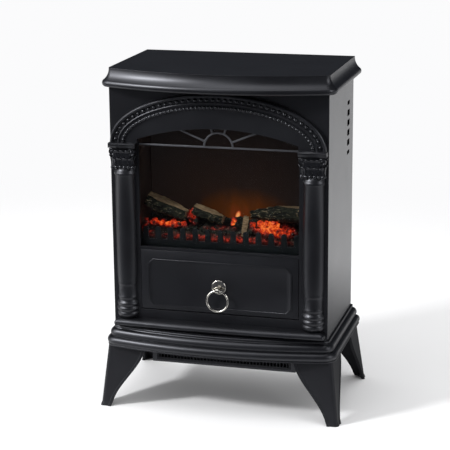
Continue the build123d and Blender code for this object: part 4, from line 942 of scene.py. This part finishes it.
def makeLog(name, setup, relief):
    # a log of unit radius along Z: ridged all round, split flat, then laid between its two ends
    deselectAll()
    first, last = setup["radii"]
    rings = relief["rings"]

    def girth(share):
        # fullest in the middle, and thinner towards both ends
        straight = (first + (last - first) * share) / (first + last) * 2
        return straight * (1 - setup["barrel"] * (2 * share - 1) ** 2)

    bpy.ops.mesh.primitive_circle_add(vertices=relief["sides"], radius=girth(0),
                                      fill_type="NGON", location=(0, 0, -1))
    log = bpy.context.object
    log.data.transform(log.matrix_world)
    log.matrix_world = Matrix.Identity(4)
    startEdit()
    for ring in range(rings):
        grown = girth((ring + 1) / rings) / girth(ring / rings)
        bpy.ops.mesh.extrude_region_move()
        bpy.ops.transform.resize(value=(grown, grown, 1), center_override=(0, 0, 0))
        bpy.ops.transform.translate(value=(0, 0, 2 / rings))
    bpy.ops.mesh.select_all(action="SELECT")
    bpy.ops.mesh.normals_make_consistent(inside=False)
    endEdit()
    roughen(log, name + "Ridges", "CLOUDS", setup["ridge"],
            {"noise_depth": relief["ridgeDetail"], "contrast": relief["ridgeContrast"]},
            strength=relief["ridgeHigh"])
    roughen(log, name + "Plates", "VORONOI", setup["ridge"] * relief["plateScale"],
            strength=-relief["plateHigh"], mid_level=relief["plateMiddle"])
    startEdit()
    bpy.ops.mesh.bisect(plane_co=(setup["split"] + setup["lean"], 0, 0),
                        plane_no=(1, 0, setup["lean"]), clear_outer=True, use_fill=True)
    endEdit()
    cut = Vector((1, 0, setup["lean"])).normalized()
    log.data.materials.append(bark)
    log.data.materials.append(splitWood)
    for face in log.data.polygons:
        if (face.normal.dot(cut) > relief["splitFacing"]
                or abs(face.normal.z) > relief["sawnFacing"]):
            face.material_index = 1
    middle = (first + last) / 2 / 1000
    start, end = onBed(*setup["first"]), onBed(*setup["last"])
    along = (end - start).normalized()
    facing = Vector(setup["facing"])
    facing = (facing - along * facing.dot(along)).normalized()
    turn = Matrix((facing, along.cross(facing), along)).transposed().to_4x4()
    size = Matrix.Diagonal((middle, middle, (end - start).length / 2, 1))
    log.data.transform(Matrix.Translation((start + end) / 2) @ turn @ size)
    finishPiece(log, name.removeprefix("log_") + "BarkLog", None, 50)
    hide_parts(name)


for name, setup in fireLogs.items():
    makeLog(name, setup, barkRelief)
print("logs split")

# the fire bed is a lumpy moulded sheet that climbs to the back; sizes in metres
fireBed = {"cells": (120, 34), "lump": 0.013, "lumpHigh": 0.011, "lumpMiddle": 0.3,
           "grit": 0.004, "gritHigh": 0.002, "middleUp": 0.70, "climb": 0.5, "skirt": 0.004}
# loose coals heaped on it: how many, then centre and half size in millimetres
fireCoals = {"size": 0.0058, "spread": (0.6, 1.15), "flat": (1, 0.8, 0.65), "fullTurn": 6.28,
             "facet": (0.9, 0.7), "chip": (0.35, 0.3), "seed": 11,
             "heaps": [(36, (82, -60, 320), (38, 10, 4)), (24, (66, -44, 329), (24, 8, 5)),
                       (34, (-102, -50, 322), (46, 14, 4)), (16, (-61, -38, 336), (10, 8, 10)),
                       (16, (-10, -50, 317), (60, 16, 3)), (8, (118, -50, 321), (20, 14, 3)),
                       (6, (14, -42, 326), (3, 4, 10))]}


def makeFireBed(setup):
    low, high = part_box("ember_bed")
    deep, tall = high.y - low.y, high.z - low.z
    deselectAll()
    across, back = setup["cells"]
    bpy.ops.mesh.primitive_grid_add(x_subdivisions=across, y_subdivisions=back, size=1)
    bed = bpy.context.object
    startEdit()
    bpy.ops.transform.resize(value=(high.x - low.x, deep, 1), center_override=(0, 0, 0))
    endEdit()
    roughen(bed, "bedLumps", "VORONOI", setup["lump"], strength=-setup["lumpHigh"],
            mid_level=setup["lumpMiddle"], direction="Z")
    roughen(bed, "bedGrit", "CLOUDS", setup["grit"], strength=setup["gritHigh"], direction="Z")
    slope = Matrix.Identity(4)
    slope[2][1] = tall / deep * setup["climb"]
    middle = Vector((0, (low.y + high.y) / 2, low.z + tall * setup["middleUp"]))
    bed.data.transform(Matrix.Translation(middle) @ slope)
    # the edges turn down into a skirt, and the underside is closed
    bpy.ops.object.mode_set(mode="EDIT")
    bpy.ops.mesh.select_mode(type="EDGE")
    bpy.ops.mesh.select_all(action="DESELECT")
    bpy.ops.mesh.select_non_manifold()
    bpy.ops.mesh.extrude_region_move()
    bpy.ops.transform.resize(value=(1, 1, 0), center_override=(0, 0, low.z + setup["skirt"]))
    bpy.ops.mesh.edge_face_add()
    bpy.ops.mesh.select_all(action="SELECT")
    bpy.ops.mesh.normals_make_consistent(inside=False)
    endEdit()
    finishPiece(bed, "charcoalBed", embers, 60)
    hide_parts("ember_bed")


def makeCoals(setup):
    deselectAll()
    bpy.ops.mesh.primitive_ico_sphere_add(subdivisions=2, radius=1)
    coal = bpy.context.object
    for name, kind, (scale, strength) in (("coalFacets", "VORONOI", setup["facet"]),
                                          ("coalChips", "CLOUDS", setup["chip"])):
        roughen(coal, name, kind, scale, strength=strength)
    dice = random.Random(setup["seed"])
    places = []
    for count, centre, half in setup["heaps"]:
        for _ in range(count):
            spot = Vector([(c + h * dice.uniform(-1, 1)) / 1000 for c, h in zip(centre, half)])
            turn = Euler([dice.uniform(0, setup["fullTurn"]) for _ in range(3)])
            size = setup["size"] * dice.uniform(*setup["spread"])
            shape = Matrix.Diagonal([size * share for share in setup["flat"]] + [1])
            places.append(Matrix.Translation(spot) @ turn.to_matrix().to_4x4() @ shape)
    finishPiece(copyToPlaces(coal, places), "charcoalLumps", embers, 40)


makeFireBed(fireBed)
makeCoals(fireCoals)
print("fire bed laid")
